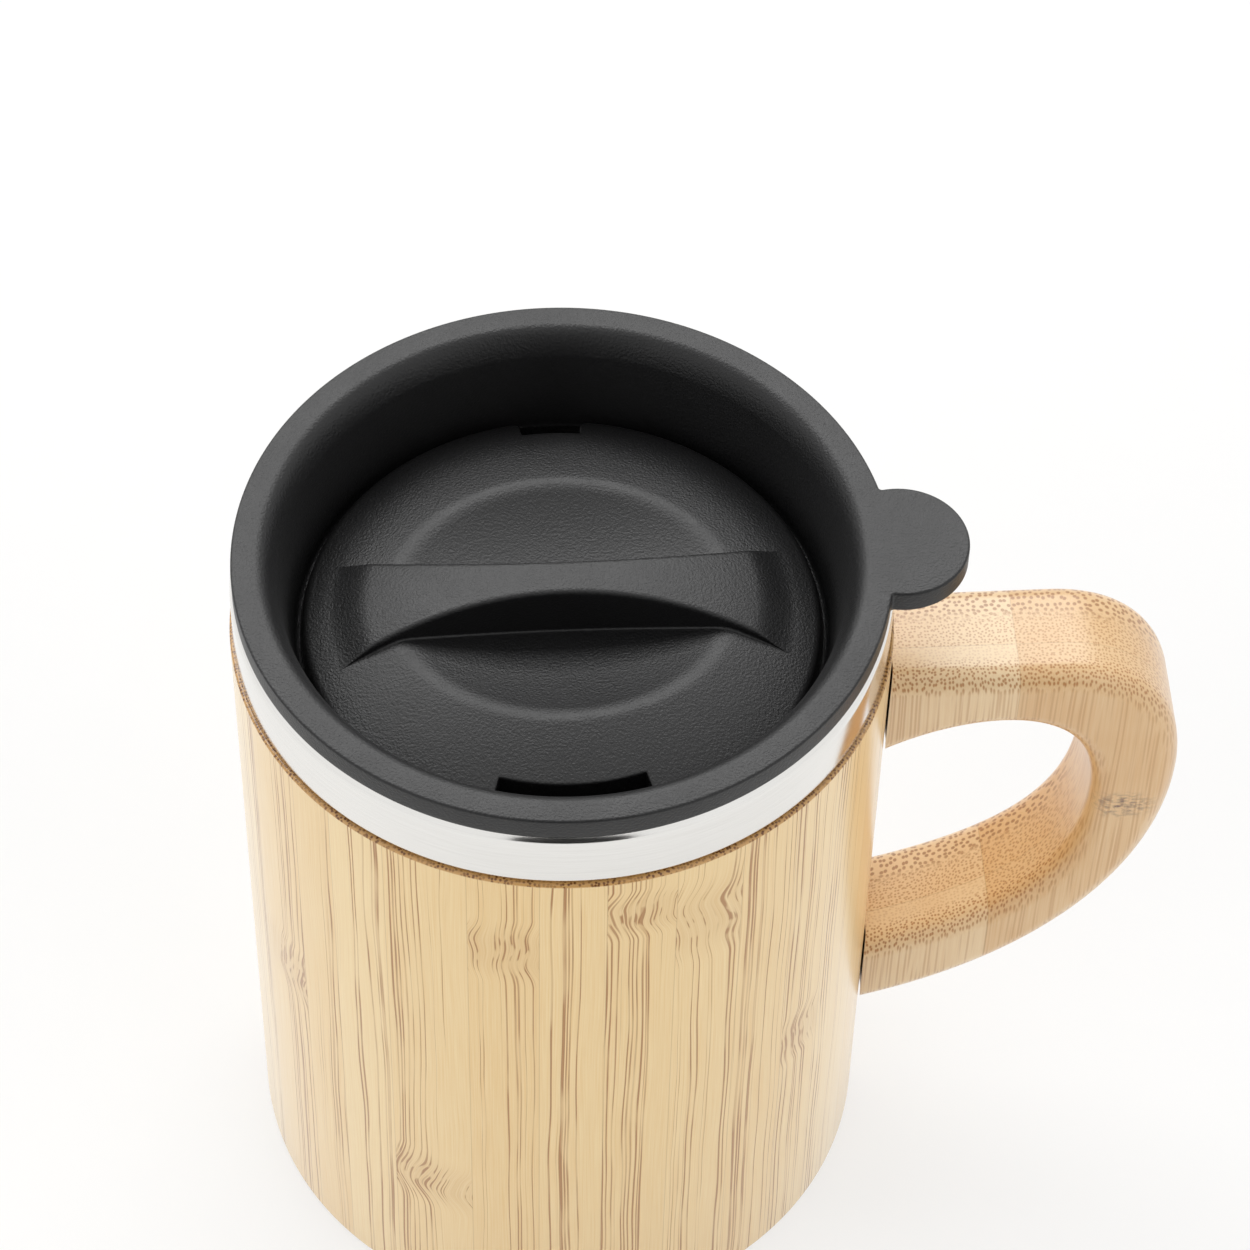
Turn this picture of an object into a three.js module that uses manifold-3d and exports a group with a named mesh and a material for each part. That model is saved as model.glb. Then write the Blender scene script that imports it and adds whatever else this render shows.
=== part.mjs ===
// Insulated mug: a double-walled steel flask in a turned bamboo body with a bamboo handle,
// closed by a press-in lid whose drinking hole opens and shuts with a turning dial.
// Millimetres, +Z up. The origin is the centre of the underside, and the handle points along +X.

import * as THREE from 'three';
import { mergeVertices } from 'three/addons/utils/BufferGeometryUtils.js';
import Module from 'manifold-3d';

const wasm = await Module();
wasm.setup();

// Bamboo body
const BODY_HEIGHT = 109;
const BODY_RADIUS = 44.8;
const SLEEVE_WALL = 3;
const SLEEVE_TOP_ROUND = 0.6;
const SLEEVE_FOOT_ROUND = 1;
const BASE_THICKNESS = 6;
const BASE_REBATE = 1.2;
const BASE_EDGE = 0.5;

// Steel flask
const STEEL_WALL = 0.5;
const BAND_SETBACK = 0.45;
const BAND_HEIGHT = 9.3;
const BAND_ROUND = 0.6;
const LIP_ROUND = 1.6;
const VACUUM_GAP = 1.4;
const FLOOR_GAP = 3;
const LINER_CORNER = 8;
const FLASK_BASE_FLANGE = 4;

// Handle, measured out from the body and down from its own top
const HANDLE_DROP = 7.3;
const HANDLE_WIDTH = 17.5;
const HANDLE_ROUND = 3.2;
const HANDLE_REACH = 41.3;
const HANDLE_HEIGHT = 77.8;
const HANDLE_FLAT = 23;
const HANDLE_SIDE_DROP = 23.5;
const ARM_THICKNESS = 10.8;
const SIDE_THICKNESS = 11.8;
const UPPER_ROOT = 16.3;
const LOWER_ROOT = 14.4;
const CROWN_OUT = 15.8;
const CROWN_TO_SIDE = 17.5;
const UPPER_ROOT_SLOPE = THREE.MathUtils.degToRad(34);
const LOWER_SLOPE = THREE.MathUtils.degToRad(19);
const CORNER_PULL = 0.62;
const OUTER_SWEEP = 21.5;
const OUTER_RUN = 30;
const INNER_SWEEP = 19.5;
const INNER_RUN = 20.5;
const ROOT_PULL = 5.5;
const BLANK_LENGTH = 12;

// Dowels that carry the handle
const DOWEL_RADIUS = 3;
const DOWEL_DEPTH = 9;
const DOWEL_EDGE = 0.6;

// Lid
const LID_SETBACK = 0.35;
const RIM_THICKNESS = 3.5;
const RIM_FACE = 3;
const RIM_EDGE = 0.4;
const SHOULDER_DEPTH = 3.7;
const SHOULDER_OUT = 1.3;
const LID_WALL = 0.9;
const WELL_DEPTH = 16.5;
const WELL_DRAFT = 1.7;
const LID_FLOOR = 1.6;
const PLUG_CHAMFER = 1;
const GROOVE_DEPTH = 1.1;
const GROOVE_HEIGHT = 2.6;
const GROOVE_DROP = 12.4;
const GASKET_LIP = 0.45;
const TAB_RADIUS = 9.2;
const TAB_REACH = 10.3;

// Dial, with heights measured down from the top of the lid rim
const BAR_DROP = 5;
const BAR_WAIST = 5.6;
const BAR_HOLLOW_RADIUS = 74;
const BAR_LENGTH = 59;
const BAR_CORNER = 4;
const DOME_EDGE_DROP = 13;
const RING_DROP = 6.85;
const RING_EDGE_DROP = 13.7;
const RING_WIDTH = 15.2;
const DIAL_EDGE = 1;
const BOWL_DROP = 13.1;
const BOWL_STRETCH = 1.26;
const BOWL_SKIN = 2.5;
const DIAL_SKIN = 1.8;
const FLANGE_WIDTH = 9;
const DRINK_DEPTH = 5.9;
const DRINK_ANGLE = THREE.MathUtils.degToRad(38);
const VENT_DEPTH = 3.8;
const VENT_ANGLE = THREE.MathUtils.degToRad(14.7);
const NOTCH_ROUND = 1.1;
const PORT_MARGIN = 0.3;
const SEAL_THICKNESS = 0.7;
const SEAL_SETBACK = 0.3;
const HUB_RADIUS = 4;
const SCREW_RADIUS = 1.5;
const SCREW_LENGTH = 8;
const SCREW_HEAD_RADIUS = 6;
const SCREW_HEAD_HEIGHT = 1.5;

// Clearances
const GLUE_GAP = 0.2;
const HANDLE_GAP = 0.3;
const DOWEL_GAP = 0.25;
const WELD_GAP = 0.1;
const SEAT_GAP = 0.1;
const PLUG_GAP = 0.4;
const GASKET_GAP = 0.15;
const DIAL_GAP = 0.7;
const RUNNING_GAP = 0.2;
const BOND_GAP = 0.05;
const SCREW_GAP = 0.1;

// Facets
const TURN_STEPS = 52;
const SMALL_STEPS = 20;
const EDGE_STEPS = 2;
const CURVE_STEPS = 5;
const SWEEP_STEPS = 5;
const BAR_STEPS = 8;
const OUTLINE_STEPS = 10;
const ROUND_STEPS = 4;
const TAB_STEPS = 24;

// How far a cut runs past the face it starts from
const CUT_OVER = 1;

// Sizes that follow from the ones above
const SLEEVE_BORE = BODY_RADIUS - SLEEVE_WALL;
const SHELL_RADIUS = SLEEVE_BORE - GLUE_GAP;
const SHELL_BORE = SHELL_RADIUS - STEEL_WALL;
const LINER_RADIUS = SHELL_BORE - VACUUM_GAP;
const LINER_BORE = LINER_RADIUS - STEEL_WALL;
const BAND_RADIUS = BODY_RADIUS - BAND_SETBACK;
const BAND_FOOT = BODY_HEIGHT + GLUE_GAP;
const MOUTH_HEIGHT = BAND_FOOT + BAND_HEIGHT;
const FLASK_FOOT = BASE_THICKNESS + GLUE_GAP;
const LINER_FOOT = FLASK_FOOT + STEEL_WALL + FLOOR_GAP;
const HANDLE_TOP = BODY_HEIGHT - HANDLE_DROP;
const LID_RADIUS = BAND_RADIUS - LID_SETBACK;
const LID_TOP = MOUTH_HEIGHT + SEAT_GAP + RIM_THICKNESS;
const PLUG_RADIUS = LINER_BORE - PLUG_GAP;
const GROOVE_RADIUS = PLUG_RADIUS - GROOVE_DEPTH;
const WELL_TOP_RADIUS = PLUG_RADIUS - LID_WALL;
const WELL_RADIUS = WELL_TOP_RADIUS - WELL_DRAFT;
const DIAL_RADIUS = WELL_RADIUS - DIAL_GAP;
const DIAL_FOOT = WELL_DEPTH - RUNNING_GAP - SEAL_THICKNESS - BOND_GAP;
const FLANGE_RADIUS = DIAL_RADIUS - FLANGE_WIDTH;
const BOWL_RIM = DIAL_RADIUS - RING_WIDTH;
const HUB_DROP = WELL_DEPTH + LID_FLOOR + RUNNING_GAP;
const DOME_RISE = DOME_EDGE_DROP - BAR_DROP;
const DOME_RADIUS = (DIAL_RADIUS ** 2 + DOME_RISE ** 2) / (2 * DOME_RISE);
const RING_RISE = RING_EDGE_DROP - RING_DROP;
const RING_RADIUS = (DIAL_RADIUS ** 2 + RING_RISE ** 2) / (2 * RING_RISE);
const RING_FALL = RING_RADIUS - Math.sqrt(RING_RADIUS ** 2 - BOWL_RIM ** 2);
const BOWL_RISE = BOWL_DROP - RING_DROP - RING_FALL;
const BOWL_RADIUS = (BOWL_RIM ** 2 + BOWL_RISE ** 2) / (2 * BOWL_RISE);

// Materials
const bamboo = new THREE.MeshStandardMaterial({ color: '#e4c394', roughness: 0.5, metalness: 0 });
const bambooHandle = new THREE.MeshStandardMaterial({ color: '#d9b283', roughness: 0.5, metalness: 0 });
const steel = new THREE.MeshStandardMaterial({ color: '#dad8d4', roughness: 0.22, metalness: 1 });
const blackPlastic = new THREE.MeshStandardMaterial({ color: '#35363a', roughness: 0.6, metalness: 0 });
const silicone = new THREE.MeshStandardMaterial({ color: '#4a4b4e', roughness: 0.75, metalness: 0 });

// A clean closed mesh: shared vertices merged and flat triangles left out
function weld(geometry) {
  geometry.deleteAttribute('normal');
  geometry.deleteAttribute('uv');
  const merged = mergeVertices(geometry, 1e-4);
  const kept = [];
  for (let i = 0; i < merged.index.count; i += 3) {
    const corners = [merged.index.getX(i), merged.index.getX(i + 1), merged.index.getX(i + 2)];
    if (new Set(corners).size === 3) kept.push(...corners);
  }
  merged.setIndex(kept);
  return merged;
}

function toSolid(geometry) {
  const welded = weld(geometry);
  const vertProperties = new Float32Array(welded.attributes.position.array);
  const triVerts = new Uint32Array(welded.index.array);
  return new wasm.Manifold(new wasm.Mesh({ numProp: 3, vertProperties, triVerts }));
}

function toGeometry(solid) {
  const mesh = solid.getMesh();
  const geometry = new THREE.BufferGeometry();
  geometry.setAttribute('position', new THREE.BufferAttribute(mesh.vertProperties, 3));
  geometry.setIndex(new THREE.BufferAttribute(mesh.triVerts, 1));
  return geometry;
}

// A profile of radius and height turned about Z
function turn(path, steps = TURN_STEPS, curveSteps = EDGE_STEPS) {
  const geometry = new THREE.LatheGeometry(path.getPoints(curveSteps), steps);
  return weld(geometry.rotateX(Math.PI / 2));
}

// A plan outline raised from one height to another
function raise(shape, from, to, options = {}) {
  const settings = { bevelEnabled: false, curveSegments: CURVE_STEPS, ...options };
  const geometry = new THREE.ExtrudeGeometry(shape, { ...settings, depth: to - from });
  return geometry.translate(0, 0, from);
}

// A solid drum about Z
function drum(radius, from, to, steps = TURN_STEPS) {
  const path = new THREE.Path();
  path.moveTo(0, from);
  path.lineTo(radius, from);
  path.lineTo(radius, to);
  path.lineTo(0, to);
  return turn(path, steps);
}

// A pin along X with chamfered ends
function pin(radius, from, to, edge) {
  const path = new THREE.Path();
  path.moveTo(0, from);
  path.lineTo(radius - edge, from);
  path.lineTo(radius, from + edge);
  path.lineTo(radius, to - edge);
  path.lineTo(radius - edge, to);
  path.lineTo(0, to);
  return turn(path, SMALL_STEPS).rotateY(Math.PI / 2);
}

// The plan of a port between two radii, centred on a direction
function port(inner, outer, direction, angle) {
  const start = direction - angle / 2;
  const end = direction + angle / 2;
  const shape = new THREE.Shape();
  shape.absarc(0, 0, outer, start, end, false);
  shape.absarc(0, 0, inner, end, start, true);
  return shape;
}

function part(name, geometry, material) {
  const mesh = new THREE.Mesh(geometry, material);
  mesh.name = name;
  return mesh;
}

// Dowel heights: the middle of each arm where it meets the body
const upperDowelHeight = HANDLE_TOP - UPPER_ROOT / 2;
const lowerDowelHeight = HANDLE_TOP - HANDLE_HEIGHT + LOWER_ROOT / 2;

function dowelHole(height) {
  const start = SLEEVE_BORE - CUT_OVER;
  const end = BODY_RADIUS + DOWEL_DEPTH + DOWEL_GAP;
  return toSolid(pin(DOWEL_RADIUS + DOWEL_GAP, start, end, DOWEL_EDGE).translate(0, 0, height));
}

function dowel(height) {
  const start = SLEEVE_BORE + GLUE_GAP;
  return pin(DOWEL_RADIUS, start, BODY_RADIUS + DOWEL_DEPTH, DOWEL_EDGE).translate(0, 0, height);
}

// Bamboo tube with a rounded top edge and foot, rebated below for the base disc
function sleeve() {
  const path = new THREE.Path();
  path.moveTo(SLEEVE_BORE + BASE_REBATE, 0);
  path.lineTo(BODY_RADIUS - SLEEVE_FOOT_ROUND, 0);
  path.quadraticCurveTo(BODY_RADIUS, 0, BODY_RADIUS, SLEEVE_FOOT_ROUND);
  path.lineTo(BODY_RADIUS, BODY_HEIGHT - SLEEVE_TOP_ROUND);
  path.quadraticCurveTo(BODY_RADIUS, BODY_HEIGHT, BODY_RADIUS - SLEEVE_TOP_ROUND, BODY_HEIGHT);
  path.lineTo(SLEEVE_BORE, BODY_HEIGHT);
  path.lineTo(SLEEVE_BORE, BASE_THICKNESS);
  path.lineTo(SLEEVE_BORE + BASE_REBATE, BASE_THICKNESS);
  path.closePath();
  const tube = toSolid(turn(path));
  const drilled = tube.subtract(dowelHole(upperDowelHeight)).subtract(dowelHole(lowerDowelHeight));
  return toGeometry(drilled);
}

// Bamboo disc glued into the foot of the sleeve
function base() {
  const radius = SLEEVE_BORE + BASE_REBATE - GLUE_GAP;
  const top = BASE_THICKNESS - BOND_GAP;
  const path = new THREE.Path();
  path.moveTo(0, 0);
  path.lineTo(radius - BASE_EDGE, 0);
  path.lineTo(radius, BASE_EDGE);
  path.lineTo(radius, top);
  path.lineTo(0, top);
  return turn(path);
}

// Outer steel tube of the flask, hidden in the bamboo
function shell() {
  const top = BAND_FOOT - WELD_GAP;
  const path = new THREE.Path();
  path.moveTo(SHELL_BORE, FLASK_FOOT);
  path.lineTo(SHELL_RADIUS, FLASK_FOOT);
  path.lineTo(SHELL_RADIUS, top);
  path.lineTo(SHELL_BORE, top);
  path.closePath();
  return turn(path);
}

// Polished steel band: a pressed ring that stands on the tube and turns in at the lip
function band() {
  const lipInner = LINER_RADIUS + WELD_GAP;
  const bandBore = BAND_RADIUS - STEEL_WALL;
  const shoulder = BAND_FOOT + STEEL_WALL;
  const lipRoundInside = LIP_ROUND - STEEL_WALL;
  const lipUnder = MOUTH_HEIGHT - STEEL_WALL;
  const path = new THREE.Path();
  path.moveTo(SHELL_BORE, BAND_FOOT);
  path.lineTo(BAND_RADIUS - BAND_ROUND, BAND_FOOT);
  path.quadraticCurveTo(BAND_RADIUS, BAND_FOOT, BAND_RADIUS, BAND_FOOT + BAND_ROUND);
  path.lineTo(BAND_RADIUS, MOUTH_HEIGHT - LIP_ROUND);
  path.quadraticCurveTo(BAND_RADIUS, MOUTH_HEIGHT, BAND_RADIUS - LIP_ROUND, MOUTH_HEIGHT);
  path.lineTo(lipInner, MOUTH_HEIGHT);
  path.lineTo(lipInner, lipUnder);
  path.lineTo(bandBore - lipRoundInside, lipUnder);
  path.quadraticCurveTo(bandBore, lipUnder, bandBore, lipUnder - lipRoundInside);
  path.lineTo(bandBore, shoulder);
  path.lineTo(SHELL_BORE, shoulder);
  path.closePath();
  return turn(path);
}

// Steel plate with an upturned flange that closes the flask below
function shellBase() {
  const radius = SHELL_BORE - WELD_GAP;
  const top = FLASK_FOOT + FLASK_BASE_FLANGE;
  const plate = FLASK_FOOT + STEEL_WALL;
  const path = new THREE.Path();
  path.moveTo(0, FLASK_FOOT);
  path.lineTo(radius, FLASK_FOOT);
  path.lineTo(radius, top);
  path.lineTo(radius - STEEL_WALL, top);
  path.lineTo(radius - STEEL_WALL, plate);
  path.lineTo(0, plate);
  return turn(path);
}

// Drawn steel cup that holds the drink
function liner() {
  const floor = LINER_FOOT + STEEL_WALL;
  const inside = LINER_BORE - LINER_CORNER + STEEL_WALL;
  const path = new THREE.Path();
  path.moveTo(0, LINER_FOOT);
  path.lineTo(LINER_RADIUS - LINER_CORNER, LINER_FOOT);
  path.quadraticCurveTo(LINER_RADIUS, LINER_FOOT, LINER_RADIUS, LINER_FOOT + LINER_CORNER);
  path.lineTo(LINER_RADIUS, MOUTH_HEIGHT);
  path.lineTo(LINER_BORE, MOUTH_HEIGHT);
  path.lineTo(LINER_BORE, LINER_FOOT + LINER_CORNER);
  path.quadraticCurveTo(LINER_BORE, floor, inside, floor);
  path.lineTo(0, floor);
  return turn(path, TURN_STEPS, CURVE_STEPS);
}

// Laminated board cut to an ear shape, rounded along its edges and scribed to the body
function handle() {
  const root = BODY_RADIUS - BLANK_LENGTH;
  const out = (distance) => BODY_RADIUS + distance;
  const down = (distance) => HANDLE_TOP - distance;
  const innerReach = HANDLE_REACH - SIDE_THICKNESS;
  const innerSide = ARM_THICKNESS + CROWN_TO_SIDE;
  const lowerInner = HANDLE_HEIGHT - LOWER_ROOT;
  const runOut = Math.cos(LOWER_SLOPE);
  const runUp = Math.sin(LOWER_SLOPE);
  const shape = new THREE.Shape();
  shape.moveTo(root, down(0));
  shape.lineTo(root, down(UPPER_ROOT));
  shape.lineTo(out(0), down(UPPER_ROOT));
  shape.bezierCurveTo(
    out(ROOT_PULL * Math.cos(UPPER_ROOT_SLOPE)), down(UPPER_ROOT - ROOT_PULL * Math.sin(UPPER_ROOT_SLOPE)),
    out(CROWN_OUT - ROOT_PULL), down(ARM_THICKNESS),
    out(CROWN_OUT), down(ARM_THICKNESS),
  );
  shape.bezierCurveTo(
    out(CROWN_OUT + CORNER_PULL * (innerReach - CROWN_OUT)), down(ARM_THICKNESS),
    out(innerReach), down(innerSide - CORNER_PULL * CROWN_TO_SIDE),
    out(innerReach), down(innerSide),
  );
  shape.bezierCurveTo(
    out(innerReach), down(innerSide + INNER_SWEEP),
    out(INNER_RUN * runOut), down(lowerInner - INNER_RUN * runUp),
    out(0), down(lowerInner),
  );
  shape.lineTo(root, down(lowerInner));
  shape.lineTo(root, down(HANDLE_HEIGHT));
  shape.lineTo(out(0), down(HANDLE_HEIGHT));
  shape.bezierCurveTo(
    out(OUTER_RUN * runOut), down(HANDLE_HEIGHT - OUTER_RUN * runUp),
    out(HANDLE_REACH), down(HANDLE_SIDE_DROP + OUTER_SWEEP),
    out(HANDLE_REACH), down(HANDLE_SIDE_DROP),
  );
  shape.bezierCurveTo(
    out(HANDLE_REACH), down(HANDLE_SIDE_DROP * (1 - CORNER_PULL)),
    out(HANDLE_FLAT + CORNER_PULL * (HANDLE_REACH - HANDLE_FLAT)), down(0),
    out(HANDLE_FLAT), down(0),
  );
  shape.closePath();
  const board = raise(shape, HANDLE_ROUND - HANDLE_WIDTH / 2, HANDLE_WIDTH / 2 - HANDLE_ROUND, {
    bevelEnabled: true,
    bevelThickness: HANDLE_ROUND,
    bevelSize: HANDLE_ROUND,
    bevelOffset: -HANDLE_ROUND,
    bevelSegments: ROUND_STEPS,
    curveSegments: OUTLINE_STEPS,
  });
  const scribe = toSolid(drum(BODY_RADIUS + HANDLE_GAP, 0, BODY_HEIGHT));
  const fitted = toSolid(board.rotateX(Math.PI / 2)).subtract(scribe);
  return toGeometry(fitted.subtract(dowelHole(upperDowelHeight)).subtract(dowelHole(lowerDowelHeight)));
}

// Moulded lid: rim, soft shoulder, well, floor and plug in one turned profile, with a thumb tab
function lidBody() {
  const floorUnder = -WELL_DEPTH - LID_FLOOR;
  const grooveTop = GROOVE_HEIGHT / 2 - GROOVE_DROP;
  const grooveFoot = -GROOVE_HEIGHT / 2 - GROOVE_DROP;
  const rimInner = LID_RADIUS - RIM_FACE;
  const hubBore = HUB_RADIUS + RUNNING_GAP;
  const path = new THREE.Path();
  path.moveTo(hubBore, floorUnder);
  path.lineTo(PLUG_RADIUS - PLUG_CHAMFER, floorUnder);
  path.lineTo(PLUG_RADIUS, floorUnder + PLUG_CHAMFER);
  path.lineTo(PLUG_RADIUS, grooveFoot);
  path.lineTo(GROOVE_RADIUS, grooveFoot);
  path.lineTo(GROOVE_RADIUS, grooveTop);
  path.lineTo(PLUG_RADIUS, grooveTop);
  path.lineTo(PLUG_RADIUS, -RIM_THICKNESS);
  path.lineTo(LID_RADIUS - RIM_EDGE, -RIM_THICKNESS);
  path.lineTo(LID_RADIUS, RIM_EDGE - RIM_THICKNESS);
  path.lineTo(LID_RADIUS, -RIM_EDGE);
  path.lineTo(LID_RADIUS - RIM_EDGE, 0);
  path.lineTo(rimInner, 0);
  path.quadraticCurveTo(WELL_TOP_RADIUS + SHOULDER_OUT, 0, WELL_TOP_RADIUS, -SHOULDER_DEPTH);
  path.lineTo(WELL_RADIUS, -WELL_DEPTH);
  path.lineTo(hubBore, -WELL_DEPTH);
  path.closePath();
  const tabShape = new THREE.Shape();
  tabShape.absarc(LID_RADIUS + TAB_REACH - TAB_RADIUS, 0, TAB_RADIUS, 0, 2 * Math.PI, false);
  const tab = toSolid(raise(tabShape, RIM_EDGE - RIM_THICKNESS, -RIM_EDGE, {
    bevelEnabled: true,
    bevelThickness: RIM_EDGE,
    bevelSize: RIM_EDGE,
    bevelOffset: -RIM_EDGE,
    bevelSegments: EDGE_STEPS,
    curveSegments: TAB_STEPS,
  }));
  const inside = toSolid(drum(LID_RADIUS - RIM_FACE / 2, -WELL_DEPTH, CUT_OVER));
  const drinkPort = port(
    DIAL_RADIUS - DRINK_DEPTH + PORT_MARGIN,
    DIAL_RADIUS - PORT_MARGIN,
    -Math.PI / 2,
    DRINK_ANGLE - 2 * PORT_MARGIN / DIAL_RADIUS,
  );
  const ventPort = port(
    DIAL_RADIUS - VENT_DEPTH + PORT_MARGIN,
    DIAL_RADIUS - PORT_MARGIN,
    Math.PI / 2,
    VENT_ANGLE - 2 * PORT_MARGIN / DIAL_RADIUS,
  );
  const over = CUT_OVER - WELL_DEPTH;
  const under = floorUnder - CUT_OVER;
  const body = toSolid(turn(path, TURN_STEPS, CURVE_STEPS)).add(tab.subtract(inside));
  const ports = toSolid(raise(drinkPort, under, over)).add(toSolid(raise(ventPort, under, over)));
  return toGeometry(body.subtract(ports));
}

// Silicone ring with two lips, seated in the groove of the plug
function gasket() {
  const inner = GROOVE_RADIUS + BOND_GAP;
  const outer = LINER_BORE - GASKET_GAP;
  const waist = outer - GASKET_LIP;
  const half = GROOVE_HEIGHT / 2 - BOND_GAP;
  const path = new THREE.Path();
  path.moveTo(inner, -GROOVE_DROP - half);
  path.lineTo(waist, -GROOVE_DROP - half);
  path.lineTo(outer, -GROOVE_DROP - half / 2);
  path.lineTo(waist, -GROOVE_DROP);
  path.lineTo(outer, -GROOVE_DROP + half / 2);
  path.lineTo(waist, -GROOVE_DROP + half);
  path.lineTo(inner, -GROOVE_DROP + half);
  path.closePath();
  return turn(path);
}

// The plan of a notch in the edge of the dial, with its two outer corners rounded away
function notchShape(depth, direction, angle) {
  const at = (radius, turned) => new THREE.Vector2(radius * Math.cos(turned), radius * Math.sin(turned));
  const inner = DIAL_RADIUS - depth;
  const start = direction - angle / 2;
  const end = direction + angle / 2;
  const flare = NOTCH_ROUND / DIAL_RADIUS;
  const roundStart = DIAL_RADIUS - NOTCH_ROUND;
  const corner = at(DIAL_RADIUS, end);
  const edge = at(DIAL_RADIUS, end + flare);
  const farCorner = at(DIAL_RADIUS, start);
  const farRound = at(roundStart, start);
  const shape = new THREE.Shape();
  shape.absarc(0, 0, inner, start, end, false);
  shape.lineTo(...at(roundStart, end));
  shape.quadraticCurveTo(corner.x, corner.y, edge.x, edge.y);
  shape.absarc(0, 0, DIAL_RADIUS + CUT_OVER, end + flare, start - flare, true);
  shape.lineTo(...at(DIAL_RADIUS, start - flare));
  shape.quadraticCurveTo(farCorner.x, farCorner.y, farRound.x, farRound.y);
  return shape;
}

// The two notches that let the drink out and the air in, cut through dial and seal
function notches() {
  const drink = notchShape(DRINK_DEPTH, -Math.PI / 2, DRINK_ANGLE);
  const vent = notchShape(VENT_DEPTH, Math.PI / 2, VENT_ANGLE);
  return toSolid(raise(drink, -HUB_DROP, 0)).add(toSolid(raise(vent, -HUB_DROP, 0)));
}

// Heights of the dome over the bar, of the flatter dome of the ring and of the bowl sunk in its middle
const domeAt = (radius) => Math.sqrt(DOME_RADIUS ** 2 - radius ** 2) - DOME_RADIUS - BAR_DROP;
const ringAt = (radius) => Math.sqrt(RING_RADIUS ** 2 - radius ** 2) - RING_RADIUS - RING_DROP;
const bowlAt = (radius) => BOWL_RADIUS - Math.sqrt(BOWL_RADIUS ** 2 - radius ** 2) - BOWL_DROP;

// Points of such a height along a stretch of radius
function follow(path, heightAt, from, to, lower = 0) {
  for (let i = 0; i <= SWEEP_STEPS; i += 1) {
    const radius = THREE.MathUtils.lerp(from, to, i / SWEEP_STEPS);
    path.lineTo(radius, heightAt(radius) - lower);
  }
}

// Everything under the dome, lowered by a thickness
function domeSolid(lower) {
  const path = new THREE.Path();
  path.moveTo(0, -HUB_DROP);
  path.lineTo(DIAL_RADIUS, -HUB_DROP);
  follow(path, domeAt, DIAL_RADIUS, 0, lower);
  return toSolid(turn(path));
}

// Plan of the grip bar, waisted between two hollow arcs, inset by a thickness
function barShape(length, inset) {
  const end = length / 2;
  const corner = BAR_CORNER - inset;
  const straight = end - corner;
  const halfWidth = (x) => BAR_WAIST / 2 - inset + x ** 2 / (2 * BAR_HOLLOW_RADIUS);
  const shape = new THREE.Shape();
  shape.moveTo(-straight, -halfWidth(straight));
  for (let i = 1; i <= BAR_STEPS; i += 1) {
    const x = straight * (2 * i / BAR_STEPS - 1);
    shape.lineTo(x, -halfWidth(x));
  }
  shape.quadraticCurveTo(end, -halfWidth(end), end, corner - halfWidth(end));
  shape.lineTo(end, halfWidth(end) - corner);
  shape.quadraticCurveTo(end, halfWidth(end), straight, halfWidth(straight));
  for (let i = 1; i <= BAR_STEPS; i += 1) {
    const x = straight * (1 - 2 * i / BAR_STEPS);
    shape.lineTo(x, halfWidth(x));
  }
  shape.quadraticCurveTo(-end, halfWidth(end), -end, halfWidth(end) - corner);
  shape.lineTo(-end, corner - halfWidth(end));
  shape.quadraticCurveTo(-end, -halfWidth(end), -straight, -halfWidth(straight));
  return shape;
}

// Moulded dial: a shallow dome with a bowl sunk in it, crossed by a grip bar that keeps the dome's crown
function dial() {
  const path = new THREE.Path();
  path.moveTo(0, -HUB_DROP);
  path.lineTo(HUB_RADIUS, -HUB_DROP);
  follow(path, bowlAt, HUB_RADIUS, BOWL_RIM, BOWL_SKIN);
  path.lineTo(FLANGE_RADIUS, ringAt(FLANGE_RADIUS) - DIAL_SKIN);
  path.lineTo(FLANGE_RADIUS, -DIAL_FOOT);
  path.lineTo(DIAL_RADIUS, -DIAL_FOOT);
  path.lineTo(DIAL_RADIUS, ringAt(DIAL_RADIUS) - DIAL_EDGE);
  follow(path, ringAt, DIAL_RADIUS - DIAL_EDGE, 0);
  const scoop = new THREE.Path();
  follow(scoop, bowlAt, 0, BOWL_RIM + CUT_OVER);
  scoop.lineTo(BOWL_RIM + CUT_OVER, 0);
  scoop.lineTo(0, 0);
  const bowl = toSolid(turn(scoop).scale(BOWL_STRETCH, 1, 1));
  const crown = domeSolid(0);
  const bar = toSolid(raise(barShape(BAR_LENGTH, 0), -BOWL_DROP - DIAL_SKIN / 2, 0)).intersect(crown);
  const below = -HUB_DROP - CUT_OVER;
  const hub = toSolid(drum(HUB_RADIUS + DIAL_SKIN, below, 0));
  const pocketShape = barShape(2 * (FLANGE_RADIUS - DIAL_SKIN), DIAL_SKIN);
  const pockets = toSolid(raise(pocketShape, -HUB_DROP, 0)).intersect(domeSolid(DIAL_SKIN)).subtract(hub);
  const holeEnd = SCREW_LENGTH + SCREW_GAP - HUB_DROP;
  const screwHole = toSolid(drum(SCREW_RADIUS + SCREW_GAP, below, holeEnd, SMALL_STEPS));
  const moulding = toSolid(turn(path)).subtract(bowl).add(bar).subtract(pockets);
  return toGeometry(moulding.subtract(notches()).subtract(screwHole));
}

// Flat silicone ring under the dial's flange, notched like the dial
function dialSeal() {
  const top = -DIAL_FOOT - BOND_GAP;
  const path = new THREE.Path();
  path.moveTo(FLANGE_RADIUS, top - SEAL_THICKNESS);
  path.lineTo(DIAL_RADIUS - SEAL_SETBACK, top - SEAL_THICKNESS);
  path.lineTo(DIAL_RADIUS - SEAL_SETBACK, top);
  path.lineTo(FLANGE_RADIUS, top);
  path.closePath();
  return toGeometry(toSolid(turn(path)).subtract(notches()));
}

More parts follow.
